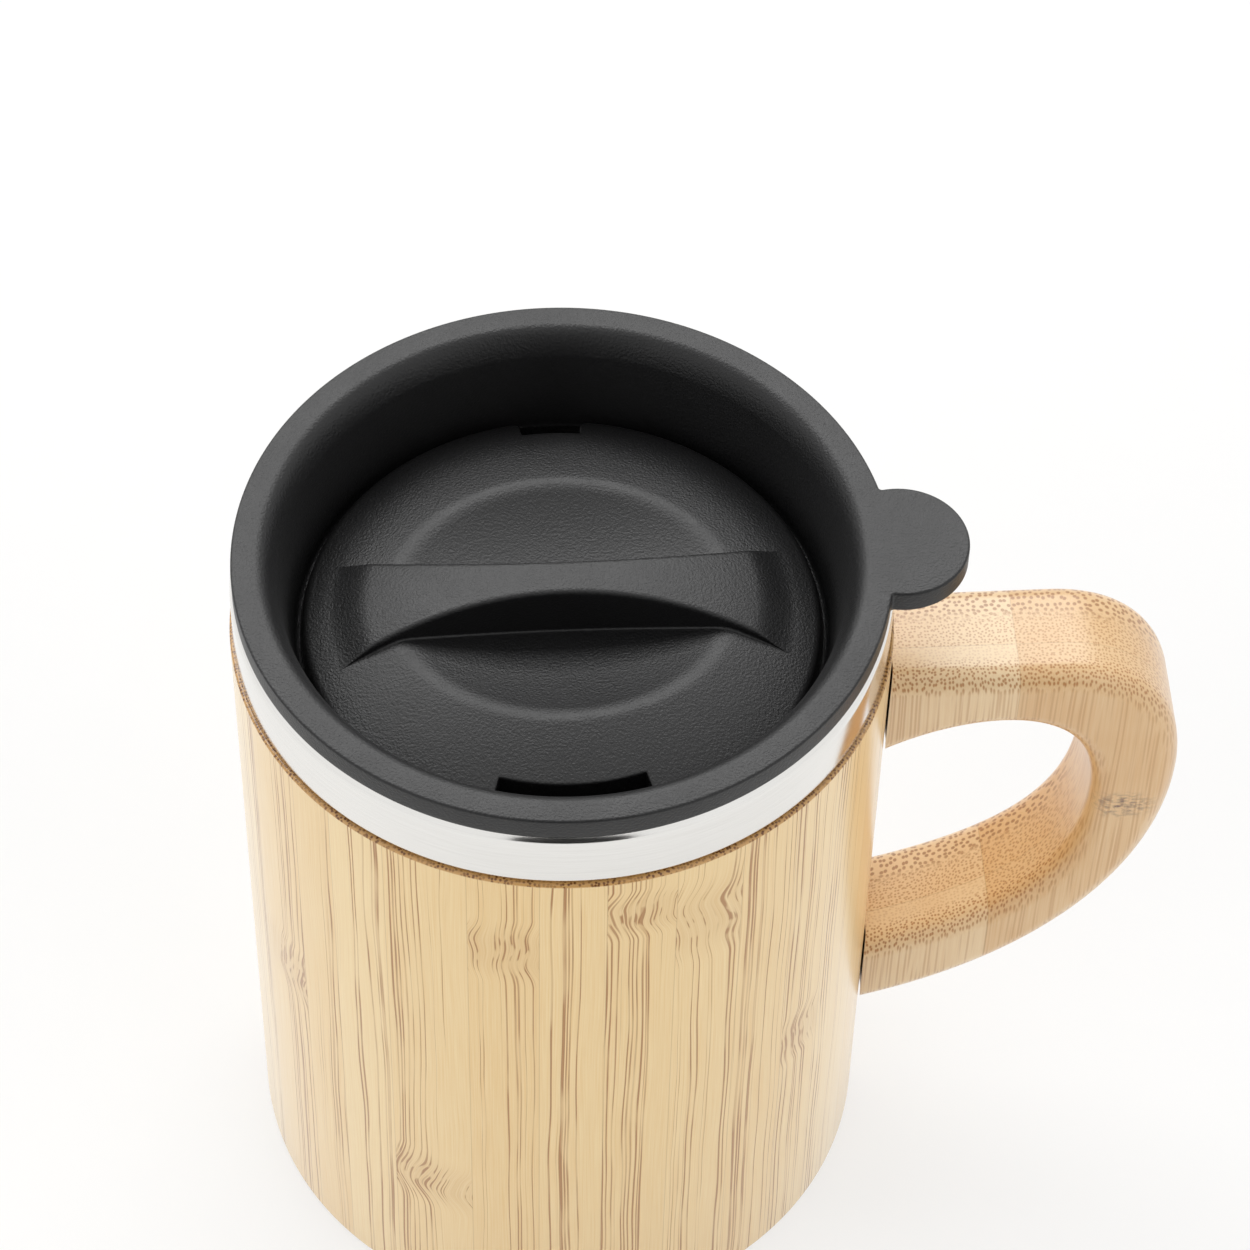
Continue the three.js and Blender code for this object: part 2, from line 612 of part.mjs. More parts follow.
// Pan-head screw that holds the dial to the lid from below
function dialScrew() {
  const seat = -HUB_DROP - BOND_GAP;
  const head = seat - SCREW_HEAD_HEIGHT;
  const path = new THREE.Path();
  path.moveTo(0, head);
  path.lineTo(SCREW_HEAD_RADIUS / 2, head);
  path.quadraticCurveTo(SCREW_HEAD_RADIUS, head, SCREW_HEAD_RADIUS, seat);
  path.lineTo(SCREW_RADIUS, seat);
  path.lineTo(SCREW_RADIUS, seat + SCREW_LENGTH);
  path.lineTo(0, seat + SCREW_LENGTH);
  return turn(path, SMALL_STEPS, CURVE_STEPS);
}

const mug = new THREE.Group();
mug.add(
  part('bamboo_sleeve', sleeve(), bamboo),
  part('bamboo_base', base(), bamboo),
  part('outer_shell', shell(), steel),
  part('steel_band', band(), steel),
  part('shell_base', shellBase(), steel),
  part('inner_liner', liner(), steel),
  part('handle', handle(), bambooHandle),
  part('handle_dowel_upper', dowel(upperDowelHeight), bamboo),
  part('handle_dowel_lower', dowel(lowerDowelHeight), bamboo),
);

const lid = new THREE.Group();
lid.position.z = LID_TOP;
lid.add(
  part('lid_body', lidBody(), blackPlastic),
  part('lid_gasket', gasket(), silicone),
  part('drink_dial', dial(), blackPlastic),
  part('dial_seal', dialSeal(), silicone),
  part('dial_screw', dialScrew(), steel),
);
mug.add(lid);

export default mug;
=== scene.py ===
# Insulated mug: a steel flask in a turned bamboo body with a bamboo ear handle, closed by a black
# press-in lid with a turning drink dial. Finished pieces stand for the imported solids.
# Sizes are in millimetres and go into the meshes in metres. The handle points along +X.

import math

import bmesh
import bpy
import numpy as np
from mathutils import Matrix, Vector


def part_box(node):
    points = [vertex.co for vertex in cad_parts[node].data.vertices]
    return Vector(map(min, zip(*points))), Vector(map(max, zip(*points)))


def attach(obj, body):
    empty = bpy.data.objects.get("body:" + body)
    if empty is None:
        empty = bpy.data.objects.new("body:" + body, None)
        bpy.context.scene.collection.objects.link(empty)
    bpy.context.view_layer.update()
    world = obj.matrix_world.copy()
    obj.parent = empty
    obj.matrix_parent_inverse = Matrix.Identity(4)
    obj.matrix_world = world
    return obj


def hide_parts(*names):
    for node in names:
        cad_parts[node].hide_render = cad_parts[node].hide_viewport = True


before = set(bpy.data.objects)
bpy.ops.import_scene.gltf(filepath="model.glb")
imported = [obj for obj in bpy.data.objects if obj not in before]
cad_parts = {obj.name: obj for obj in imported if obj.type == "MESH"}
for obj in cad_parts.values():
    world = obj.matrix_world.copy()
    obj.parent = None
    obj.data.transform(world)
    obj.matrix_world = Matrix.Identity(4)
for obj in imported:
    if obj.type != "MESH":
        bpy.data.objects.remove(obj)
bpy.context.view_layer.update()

MM = 0.001


def box_mm(node):
    low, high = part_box(node)
    return low / MM, high / MM


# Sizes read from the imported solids
_, sleeve_high = box_mm("bamboo_sleeve")
_, base_high = box_mm("bamboo_base")
band_low, band_high = box_mm("steel_band")
liner_low, liner_high = box_mm("inner_liner")
handle_low, handle_high = box_mm("handle")
lid_low, lid_high = box_mm("lid_body")
gasket_low, gasket_high = box_mm("lid_gasket")
dial_low, dial_high = box_mm("drink_dial")
_, seal_high = box_mm("dial_seal")

BODY_RADIUS = sleeve_high.x
BODY_HEIGHT = sleeve_high.z
BASE_RADIUS = base_high.x
BASE_THICKNESS = base_high.z
BAND_RADIUS = band_high.x
BAND_FOOT = band_low.z
MOUTH_HEIGHT = band_high.z
LINER_RADIUS = liner_high.x
LINER_FOOT = liner_low.z
LID_RADIUS = lid_high.y
LID_TOP = lid_high.z
LID_UNDER = lid_low.z
TAB_TIP = lid_high.x
HANDLE_TOP = handle_high.z
HANDLE_HEIGHT = handle_high.z - handle_low.z
HANDLE_WIDTH = handle_high.y - handle_low.y
HANDLE_REACH = handle_high.x - BODY_RADIUS
DIAL_TRIM = 0.4
DIAL_FLARE = 0.3
DIAL_RADIUS = dial_high.x - DIAL_TRIM
BAR_TOP = dial_high.z
HUB_FOOT = dial_low.z
DIAL_FOOT = seal_high.z

# Bamboo body
SLEEVE_WALL = 3
SLEEVE_TOP_ROUND = 0.45
SLEEVE_FOOT_ROUND = 1
BASE_REBATE = 1.2
BASE_EDGE = 0.5
SLEEVE_BORE = BODY_RADIUS - SLEEVE_WALL

# Steel flask
STEEL_WALL = 0.5
BAND_ROUND = 0.6
LIP_ROUND = 1.6
WELD_GAP = 0.1
SHELL_BORE = 41.1
LINER_CORNER = 8
LINER_BORE = LINER_RADIUS - STEEL_WALL

# Handle, measured out from the body and down from its own top
HANDLE_GAP = 0.3
HANDLE_ROUND = 3.2
HANDLE_FLAT = 23
HANDLE_SIDE_DROP = 23.5
ARM_THICKNESS = 10.8
SIDE_THICKNESS = 11.8
UPPER_ROOT = 16.3
LOWER_ROOT = 14.4
CROWN_OUT = 15.8
CROWN_TO_SIDE = 17.5
UPPER_ROOT_SLOPE = math.radians(34)
LOWER_SLOPE = math.radians(19)
CORNER_PULL = 0.62
OUTER_SWEEP = 21.5
OUTER_RUN = 30
INNER_SWEEP = 19.5
INNER_RUN = 20.5
ROOT_PULL = 5.5

# Lid, with heights measured down from its top
BOND_GAP = 0.05
RIM_THICKNESS = 3.5
RIM_FACE = 3
RIM_EDGE = 0.4
SHOULDER_DEPTH = 3.7
SHOULDER_OUT = 1.3
LID_FLOOR = 1.6
LID_WALL = 0.9
WELL_DRAFT = 1.7
WELL_FILLET = 1.1
WELL_DEPTH = LID_TOP - LID_UNDER - LID_FLOOR
PLUG_GAP = 0.4
PLUG_RADIUS = LINER_BORE - PLUG_GAP
PLUG_CHAMFER = 1
WELL_TOP_RADIUS = PLUG_RADIUS - LID_WALL
WELL_RADIUS = WELL_TOP_RADIUS - WELL_DRAFT
GROOVE_DEPTH = 1.1
GROOVE_RADIUS = PLUG_RADIUS - GROOVE_DEPTH
GROOVE_HEIGHT = 2.6
GROOVE_DROP = 12.4
GASKET_LIP = 0.45
GASKET_INNER = GROOVE_RADIUS + BOND_GAP
GASKET_LIP_ROUND = 0.12
GASKET_WAIST_ROUND = 0.1
TAB_RADIUS = 9.2
TAB_FILLET = 0.5
HUB_RADIUS = 4
HUB_GAP = 0.2
HUB_ROUND = 0.3

# Dial, with heights measured down from the top of the lid
BAR_DROP = LID_TOP - BAR_TOP
BAR_WAIST = 5.6
BAR_HOLLOW_RADIUS = 74
BAR_LENGTH = 63
BAR_CORNER = 2
BAR_FADE = 5.5
# Each round also takes no more than a share of the height of the bar's side
BAR_EDGE_ROUND = 0.8
BAR_EDGE_SHARE = 0.6
BAR_FOOT_ROUND = 0.4
BAR_FOOT_SHARE = 0.3
DOME_EDGE_DROP = 13
RING_DROP = 6.85
RING_EDGE_DROP = 13.7
RING_WIDTH = 15.2
RIDGE_SOFT = 0.9
DIAL_EDGE = 1
NOTCH_EDGE = 0.35
BOWL_DROP = 13.1
BOWL_STRETCH = 1.26
DRINK_DEPTH = 5.5
DRINK_ANGLE = math.radians(38)
VENT_DEPTH = 3.4
VENT_ANGLE = math.radians(14.7)
NOTCH_ROUND = 1.3
PORT_MARGIN = 0.3
PORT_TO_WALL = 0.1
PORT_OVERCUT = 1
PORT_RADIUS = DIAL_RADIUS + DIAL_TRIM - PORT_MARGIN
# The ports also cut through the rounded corner of the well, which would catch the light behind the notches
PORT_REACH = WELL_RADIUS - PORT_TO_WALL
BOWL_RIM = DIAL_RADIUS - RING_WIDTH
DOME_RISE = DOME_EDGE_DROP - BAR_DROP
DOME_RADIUS = (DIAL_RADIUS**2 + DOME_RISE**2) / (2 * DOME_RISE)
RING_RISE = RING_EDGE_DROP - RING_DROP
RING_RADIUS = (DIAL_RADIUS**2 + RING_RISE**2) / (2 * RING_RISE)
RING_FALL = RING_RADIUS - math.sqrt(RING_RADIUS**2 - BOWL_RIM**2)
BOWL_RISE = BOWL_DROP - RING_DROP - RING_FALL
BOWL_RADIUS = (BOWL_RIM**2 + BOWL_RISE**2) / (2 * BOWL_RISE)

# Mesh fineness. Points nearer than MERGE, in metres, become one.
TURN_STEPS = 240
ROUND_STEPS = 6
SHOULDER_STEPS = 18
CURVE_STEPS = 60
TAB_STEPS = 40
TAB_FILLET_STEPS = 8
RIM_STEPS = 120
PORT_STEPS = 32
QUARTER_STEPS = 100
BAR_TIP_STEPS = 12
BAR_CORNER_STEPS = 16
NOTCH_ARC_STEPS = 60
NOTCH_SIDE_STEPS = 10
CROWN_LOOPS = 11
RING_LOOPS = 90
MERGE = 2e-6
SHARP_ANGLE = math.radians(38)


# Shapes

def curve(points, steps):
    """Points along a straight line, quadratic or cubic curve given by its 2, 3 or 4 control points."""
    at = np.linspace(0, 1, steps + 1)[:, None]
    points = [np.asarray(p, float)[None, :] for p in points]
    while len(points) > 1:
        points = [a * (1 - at) + b * at for a, b in zip(points, points[1:])]
    return points[0]


def rounded(corners):
    """A section drawn through corners of (radius, height, round)."""
    points = []
    for i, (radius, height, size) in enumerate(corners):
        here = np.array((radius, height), float)
        if not size:
            points.append(here)
            continue
        before = np.array(corners[i - 1][:2]) - here
        after = np.array(corners[(i + 1) % len(corners)][:2]) - here
        start = here + before * (size / np.linalg.norm(before))
        end = here + after * (size / np.linalg.norm(after))
        points.extend(curve((start, here, end), ROUND_STEPS))
    return points


def ring(radius, height, angles):
    return np.stack([radius * np.cos(angles), radius * np.sin(angles), np.full(len(angles), height)], 1)


def skin(loops, joined=False):
    """Loops of points, each joined to the next by a strip of faces."""
    count = len(loops[0])
    faces = []
    for i in range(len(loops) if joined else len(loops) - 1):
        here = i * count
        there = (i + 1) % len(loops) * count
        for j in range(count):
            k = (j + 1) % count
            faces.append((here + j, here + k, there + k, there + j))
    return np.concatenate(loops), faces


def capped(loops):
    """Loops skinned to a closed solid, with each end bridged from one half of its loop to the other."""
    points, faces = skin(loops)
    count = len(loops[0])
    for start in (0, len(points) - count):
        for i in range(count // 2 - 1):
            faces.append((start + i, start + i + 1, start + count - 2 - i, start + count - 1 - i))
    return points, faces


def turned(section, joined):
    angles = np.arange(TURN_STEPS) * (2 * math.pi / TURN_STEPS)
    return skin([ring(radius, height, angles) for radius, height in section], joined)


def normals_of(loop):
    """Outward normals of a closed plan outline that runs anticlockwise."""
    along = np.roll(loop, -1, 0) - np.roll(loop, 1, 0)
    across = np.stack([along[:, 1], -along[:, 0]], 1)
    return across / np.linalg.norm(across, axis=1)[:, None]


def mesh_object(name, points, faces):
    mesh = bpy.data.meshes.new(name)
    mesh.from_pydata(np.asarray(points) * MM, [], faces)
    made = bpy.data.objects.new(name, mesh)
    bpy.context.scene.collection.objects.link(made)
    shape = bmesh.new()
    shape.from_mesh(mesh)
    bmesh.ops.remove_doubles(shape, verts=shape.verts, dist=MERGE)
    bmesh.ops.recalc_face_normals(shape, faces=shape.faces)
    shape.to_mesh(mesh)
    shape.free()
    return made


def cut(made, cutter):
    """Takes the cutter's solid out of a piece."""
    knife = made.modifiers.new("cut", "BOOLEAN")
    knife.solver = "EXACT"
    knife.object = cutter
    left = bpy.data.meshes.new_from_object(made.evaluated_get(bpy.context.evaluated_depsgraph_get()))
    made.modifiers.clear()
    made.data = left
    bpy.data.objects.remove(cutter)


def finish_piece(made, material, body, slot, *nodes):
    """Smooth shading with crisp corners, a finish, and a place on a body for the solids it stands for."""
    shape = bmesh.new()
    shape.from_mesh(made.data)
    for face in shape.faces:
        face.smooth = True
    for edge in shape.edges:
        edge.smooth = len(edge.link_faces) != 2 or edge.calc_face_angle() < SHARP_ANGLE
    shape.to_mesh(made.data)
    shape.free()
    made.data.materials.clear()
    made.data.materials.append(material)
    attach(made, body)
    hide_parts(*nodes)


# Finishes

def linear(code):
    """A colour written as sRGB hex, in the linear values that shaders take."""
    parts = [int(code[i:i + 2], 16) / 255 for i in (1, 3, 5)]
    return (*[p / 12.92 if p <= 0.04045 else ((p + 0.055) / 1.055) ** 2.4 for p in parts], 1)


def new_tree(name):
    material = bpy.data.materials.new(name)
    material.use_nodes = True
    material.node_tree.nodes.clear()
    return material, material.node_tree


def add(tree, kind, inputs=None, **settings):
    """One shader node with its settings, and its inputs as values or as links. Gives back its outputs."""
    node = tree.nodes.new("ShaderNode" + kind)
    for name, value in settings.items():
        setattr(node, name, value)
    for name, value in (inputs or {}).items():
        if isinstance(value, bpy.types.NodeSocket):
            tree.links.new(value, node.inputs[name])
        else:
            node.inputs[name].default_value = value
    return node.outputs


# Setting for a range that eases in and out
SOFT = {"interpolation_type": "SMOOTHSTEP"}


def place_mm(tree):
    """Where a point lies in the part's frame, in millimetres."""
    return add(tree, "VectorMath", {0: add(tree, "TexCoord")["Object"], 3: 1 / MM}, operation="SCALE")[0]


# Bamboo, laminated from upright strips, turned, sanded and thinly lacquered. The eye sees pale straw
# strips of slightly different tone, thin brown fibre lines crowded towards one edge of a strip, fine
# glue lines, a few knots where the lines bow and break up, and fibre ends as dots where the top edge is
# cut across. Real fibres are about 0.1 mm thick; the finest are drawn coarser so that they show.
STRIP_WIDTH = 9.6
STRIP_SHIFT = 0.12
STRIP_UNEVEN = 0.55
FIBRE_PITCH = 0.5
END_DOT = 0.52
GLUE_LINE = 0.11
GRAIN_RELIEF = 0.02
# Lengths of the patterns round the body, into it and up. A zero leaves that direction out.
WANDER = (6, 6, 32)
BOW = (8, 0, 8)
GROUP = (3.4, 3.4, 90)
FADE = (1.3, 1.3, 16)
STROKE = (0.9, 0.9, 3.4)
HAIR = (0.2, 0.2, 18)
# Each knot's place round the body in degrees from +X, its height and how far it reaches up and down
KNOTS = ((-97, 93, 8), (-80, 101, 6), (-68, 96, 11), (-152, 60, 8), (88, 84, 7), (140, 44, 8), (-40, 52, 7),
         (52, 66, 8), (-118, 30, 8), (15, 30, 7))


def turned_bamboo():
    material, tree = new_tree("laminated_bamboo_turned")
    coords = add(tree, "TexCoord")
    # Taken half a turn round, so that the jump in the angle lies behind the handle
    half_turned = (-1 / MM, -1 / MM, 1 / MM)
    place = add(tree, "VectorMath", {0: coords["Object"], 1: half_turned}, operation="MULTIPLY")[0]
    axis = add(tree, "SeparateXYZ", {0: place})
    height = axis["Z"]
    turn = add(tree, "Math", {0: axis["Y"], 1: axis["X"]}, operation="ARCTAN2")[0]
    arc = add(tree, "Math", {0: turn, 1: BODY_RADIUS}, operation="MULTIPLY")[0]
    flat = add(tree, "CombineXYZ", {0: axis["X"], 1: axis["Y"]})[0]
    depth = add(tree, "VectorMath", {0: flat}, operation="LENGTH")["Value"]
    face_up = add(tree, "SeparateXYZ", {0: coords["Normal"]})["Z"]
    end_grain = add(tree, "MapRange", {"Value": face_up, "From Min": 0.1, "From Max": 0.35})[0]
    # Strips
    along = add(tree, "Math", {0: arc, 1: 1 / STRIP_WIDTH, 2: STRIP_SHIFT}, operation="MULTIPLY_ADD")[0]
    strip = add(tree, "TexVoronoi", {"W": along, "Scale": 1, "Randomness": STRIP_UNEVEN},
                voronoi_dimensions="1D")
    own = add(tree, "SeparateColor", {0: strip["Color"]})
    seam = add(tree, "TexVoronoi", {"W": along, "Scale": 1, "Randomness": STRIP_UNEVEN},
               voronoi_dimensions="1D", feature="DISTANCE_TO_EDGE")["Distance"]
    glue = add(tree, "MapRange", {"Value": seam, "From Min": GLUE_LINE / STRIP_WIDTH, "From Max": 0},
               **SOFT)[0]
    inside = add(tree, "Math", {0: along, 1: strip["W"]}, operation="SUBTRACT")[0]
    side = add(tree, "Math", {0: own["Green"], 1: 0.5}, operation="GREATER_THAN")[0]
    side = add(tree, "Math", {0: side, 1: 1.6, 2: -0.8}, operation="MULTIPLY_ADD")[0]
    crowd = add(tree, "Math", {0: inside, 1: side, 2: 0.5}, operation="MULTIPLY_ADD", use_clamp=True)[0]
    # Knots, each across the whole width of a strip
    knot = None
    for degrees, up, tall in KNOTS:
        spot = math.radians((degrees + 360) % 360 - 180) * BODY_RADIUS / STRIP_WIDTH + STRIP_SHIFT
        chosen = add(tree, "Math", {0: strip["W"], 1: spot, 2: 0.4}, operation="COMPARE")[0]
        away = add(tree, "Math", {0: height, 1: up}, operation="SUBTRACT")[0]
        away = add(tree, "Math", {0: away}, operation="ABSOLUTE")[0]
        near = add(tree, "MapRange", {"Value": away, "From Min": tall, "From Max": 0.2 * tall}, **SOFT)[0]
        near = add(tree, "Math", {0: near, 1: chosen}, operation="MULTIPLY")[0]
        knot = near if knot is None else add(tree, "Math", {0: knot, 1: near}, operation="MAXIMUM")[0]
    # Fibre lines wander slowly up the strip, bow and break up in a knot, and fade in and out
    mug_place = add(tree, "CombineXYZ", {0: arc, 1: depth, 2: height})[0]
    slow = add(tree, "VectorMath", {0: mug_place, 1: WANDER}, operation="DIVIDE")[0]
    wander = add(tree, "TexNoise", {"Vector": slow, "Scale": 1, "Detail": 1})["Fac"]
    wander = add(tree, "Math", {0: wander, 1: 1.6, 2: -0.8}, operation="MULTIPLY_ADD")[0]
    quick = add(tree, "VectorMath", {0: mug_place, 1: BOW}, operation="DIVIDE")[0]
    bow = add(tree, "TexNoise", {"Vector": quick, "Scale": 1, "Detail": 0})["Fac"]
    bow = add(tree, "Math", {0: bow, 1: 4, 2: -0.8}, operation="MULTIPLY_ADD")[0]
    bent = add(tree, "Math", {0: bow, 1: knot, 2: wander}, operation="MULTIPLY_ADD")[0]
    bent = add(tree, "CombineXYZ", {0: bent})[0]
    bent = add(tree, "VectorMath", {0: mug_place, 1: bent}, operation="ADD")[0]
    cells = add(tree, "VectorMath", {0: bent, 3: 1 / FIBRE_PITCH}, operation="SCALE")[0]
    fibre = add(tree, "TexVoronoi", {"Vector": cells, "Scale": 1, "Randomness": 1}, voronoi_dimensions="2D")
    own_fibre = add(tree, "SeparateColor", {0: fibre["Color"]})
    group_at = add(tree, "VectorMath", {0: bent, 1: GROUP}, operation="DIVIDE")[0]
    group = add(tree, "TexNoise", {"Vector": group_at, "Scale": 1, "Detail": 1})["Fac"]
    crowd = add(tree, "Math", {0: crowd, 1: group}, operation="ADD")[0]
    thick = add(tree, "MapRange", {"Value": crowd, "From Min": 0.6, "From Max": 1.25, "To Min": 0.07,
                                   "To Max": 0.35}, **SOFT)[0]
    thick = add(tree, "Math", {0: knot, 1: 0.14, 2: thick}, operation="MULTIPLY_ADD")[0]
    rate = add(tree, "Math", {0: fibre["Distance"], 1: thick}, operation="DIVIDE")[0]
    line = add(tree, "MapRange", {"Value": rate, "From Min": 1.05, "From Max": 0.6}, **SOFT)[0]
    fade_at = add(tree, "VectorMath", {0: bent, 1: FADE}, operation="DIVIDE")[0]
    fade = add(tree, "TexNoise", {"Vector": fade_at, "Scale": 1, "Detail": 1})["Fac"]
    fade = add(tree, "MapRange", {"Value": fade, "From Min": 0.36, "From Max": 0.56, "To Min": 0.35})[0]
    stroke_at = add(tree, "VectorMath", {0: bent, 1: STROKE}, operation="DIVIDE")[0]
    stroke = add(tree, "TexNoise", {"Vector": stroke_at, "Scale": 1, "Detail": 1})["Fac"]
    stroke = add(tree, "MapRange", {"Value": stroke, "From Min": 0.44, "From Max": 0.53, "To Min": 0.08})[0]
    fade = add(tree, "Mix", {0: knot, 2: fade, 3: stroke})[0]
    strong = add(tree, "Math", {0: own_fibre["Green"], 1: 0.3, 2: 0.7}, operation="MULTIPLY_ADD")[0]
    strong = add(tree, "Math", {0: strong, 1: fade}, operation="MULTIPLY")[0]
    line = add(tree, "Math", {0: line, 1: strong}, operation="MULTIPLY")[0]
    end_at = add(tree, "VectorMath", {0: mug_place, 3: 1 / END_DOT}, operation="SCALE")[0]
    end_dot = add(tree, "TexVoronoi", {"Vector": end_at, "Scale": 1, "Randomness": 0.8},
                  voronoi_dimensions="2D")["Distance"]
    end_dot = add(tree, "MapRange", {"Value": end_dot, "From Min": 0.46, "From Max": 0.22}, **SOFT)[0]
    patchy = add(tree, "MapRange", {"Value": group, "From Min": 0.35, "From Max": 0.55, "To Min": 0.4})[0]
    end_dot = add(tree, "Math", {0: end_dot, 1: patchy}, operation="MULTIPLY")[0]
    line = add(tree, "Mix", {0: end_grain, 2: line, 3: end_dot})[0]
    # Hair-fine fibres between the lines
    fine = add(tree, "VectorMath", {0: bent, 1: HAIR}, operation="DIVIDE")[0]
    hair = add(tree, "TexNoise", {"Vector": fine, "Scale": 1, "Detail": 2, "Roughness": 0.6})["Fac"]
    tone = add(tree, "Math", {0: hair, 1: 1.5, 2: -0.6}, operation="MULTIPLY_ADD")[0]
    tone = add(tree, "Math", {0: own["Red"], 1: 0.4, 2: tone}, operation="MULTIPLY_ADD", use_clamp=True)[0]
    straw = add(tree, "Mix", {0: tone, 6: linear("#F4D9A4"), 7: linear("#E6BF7E")}, data_type="RGBA")[2]
    cut_across = add(tree, "Math", {0: end_grain, 1: 0.85}, operation="MULTIPLY")[0]
    ended = add(tree, "Mix", {0: cut_across, 6: straw, 7: linear("#BC8A4A")}, data_type="RGBA")[2]
    ink = add(tree, "Mix", {0: end_grain, 6: linear("#A0651A"), 7: linear("#6B3E12")}, data_type="RGBA")[2]
    lined = add(tree, "Mix", {0: line, 6: ended, 7: ink}, data_type="RGBA")[2]
    glued = add(tree, "Mix", {0: add(tree, "Math", {0: glue, 1: 0.4}, operation="MULTIPLY")[0],
                              6: lined, 7: linear("#A57C4E")}, data_type="RGBA")[2]
    faint = add(tree, "Math", {0: hair, 1: 0.3}, operation="MULTIPLY")[0]
    stain = add(tree, "Math", {0: knot, 1: faint}, operation="MULTIPLY")[0]
    colour = add(tree, "Mix", {0: stain, 6: glued, 7: linear("#B98A50")}, data_type="RGBA")[2]
    relief = add(tree, "Math", {0: faint, 1: line}, operation="SUBTRACT")[0]
    relief = add(tree, "Math", {0: relief, 1: glue}, operation="SUBTRACT")[0]
    bump = add(tree, "Bump", {"Height": relief, "Strength": 0.25, "Distance": GRAIN_RELIEF * MM})[0]
    rough = add(tree, "Math", {0: hair, 1: 0.16, 2: 0.26}, operation="MULTIPLY_ADD")[0]
    shader = add(tree, "BsdfPrincipled", {
        "Base Color": colour, "Roughness": rough, "Normal": bump, "IOR": 1.5, "Specular IOR Level": 0.25,
        "Coat Weight": 0.9, "Coat Roughness": 0.2})[0]
    add(tree, "OutputMaterial", {0: shader})
    return material


# Bamboo board, pressed from two layers of upright strips, cut out and rounded over. The eye sees fibre
# ends as brown dots on the faces that cut across the fibres, small and close at the glue line between
# the layers and large towards the back, and thin faint upright lines on the flat front and back.
LAYER_SEAM = -2.3
STAVE_SEAM = 62
STAVE_WIDTH = 30
SKIN_EDGE = 0.2
SKIN_START = -4
SKIN_END = -6.2
BACK_START = 1
BACK_END = 4.5
DOT_PITCH = 0.86
SMALL_DOT_PITCH = 0.52
BOARD_DRIFT = (7, 7, 32)
BOARD_HAIR = (0.2, 0.2, 14)
BOARD_CLOUD = 16
BOARD_KNOT = (79, -8, 72)
BOARD_KNOT_REACH = (6, 3, 4)
FLECK = (1.1, 1.1, 0.7)


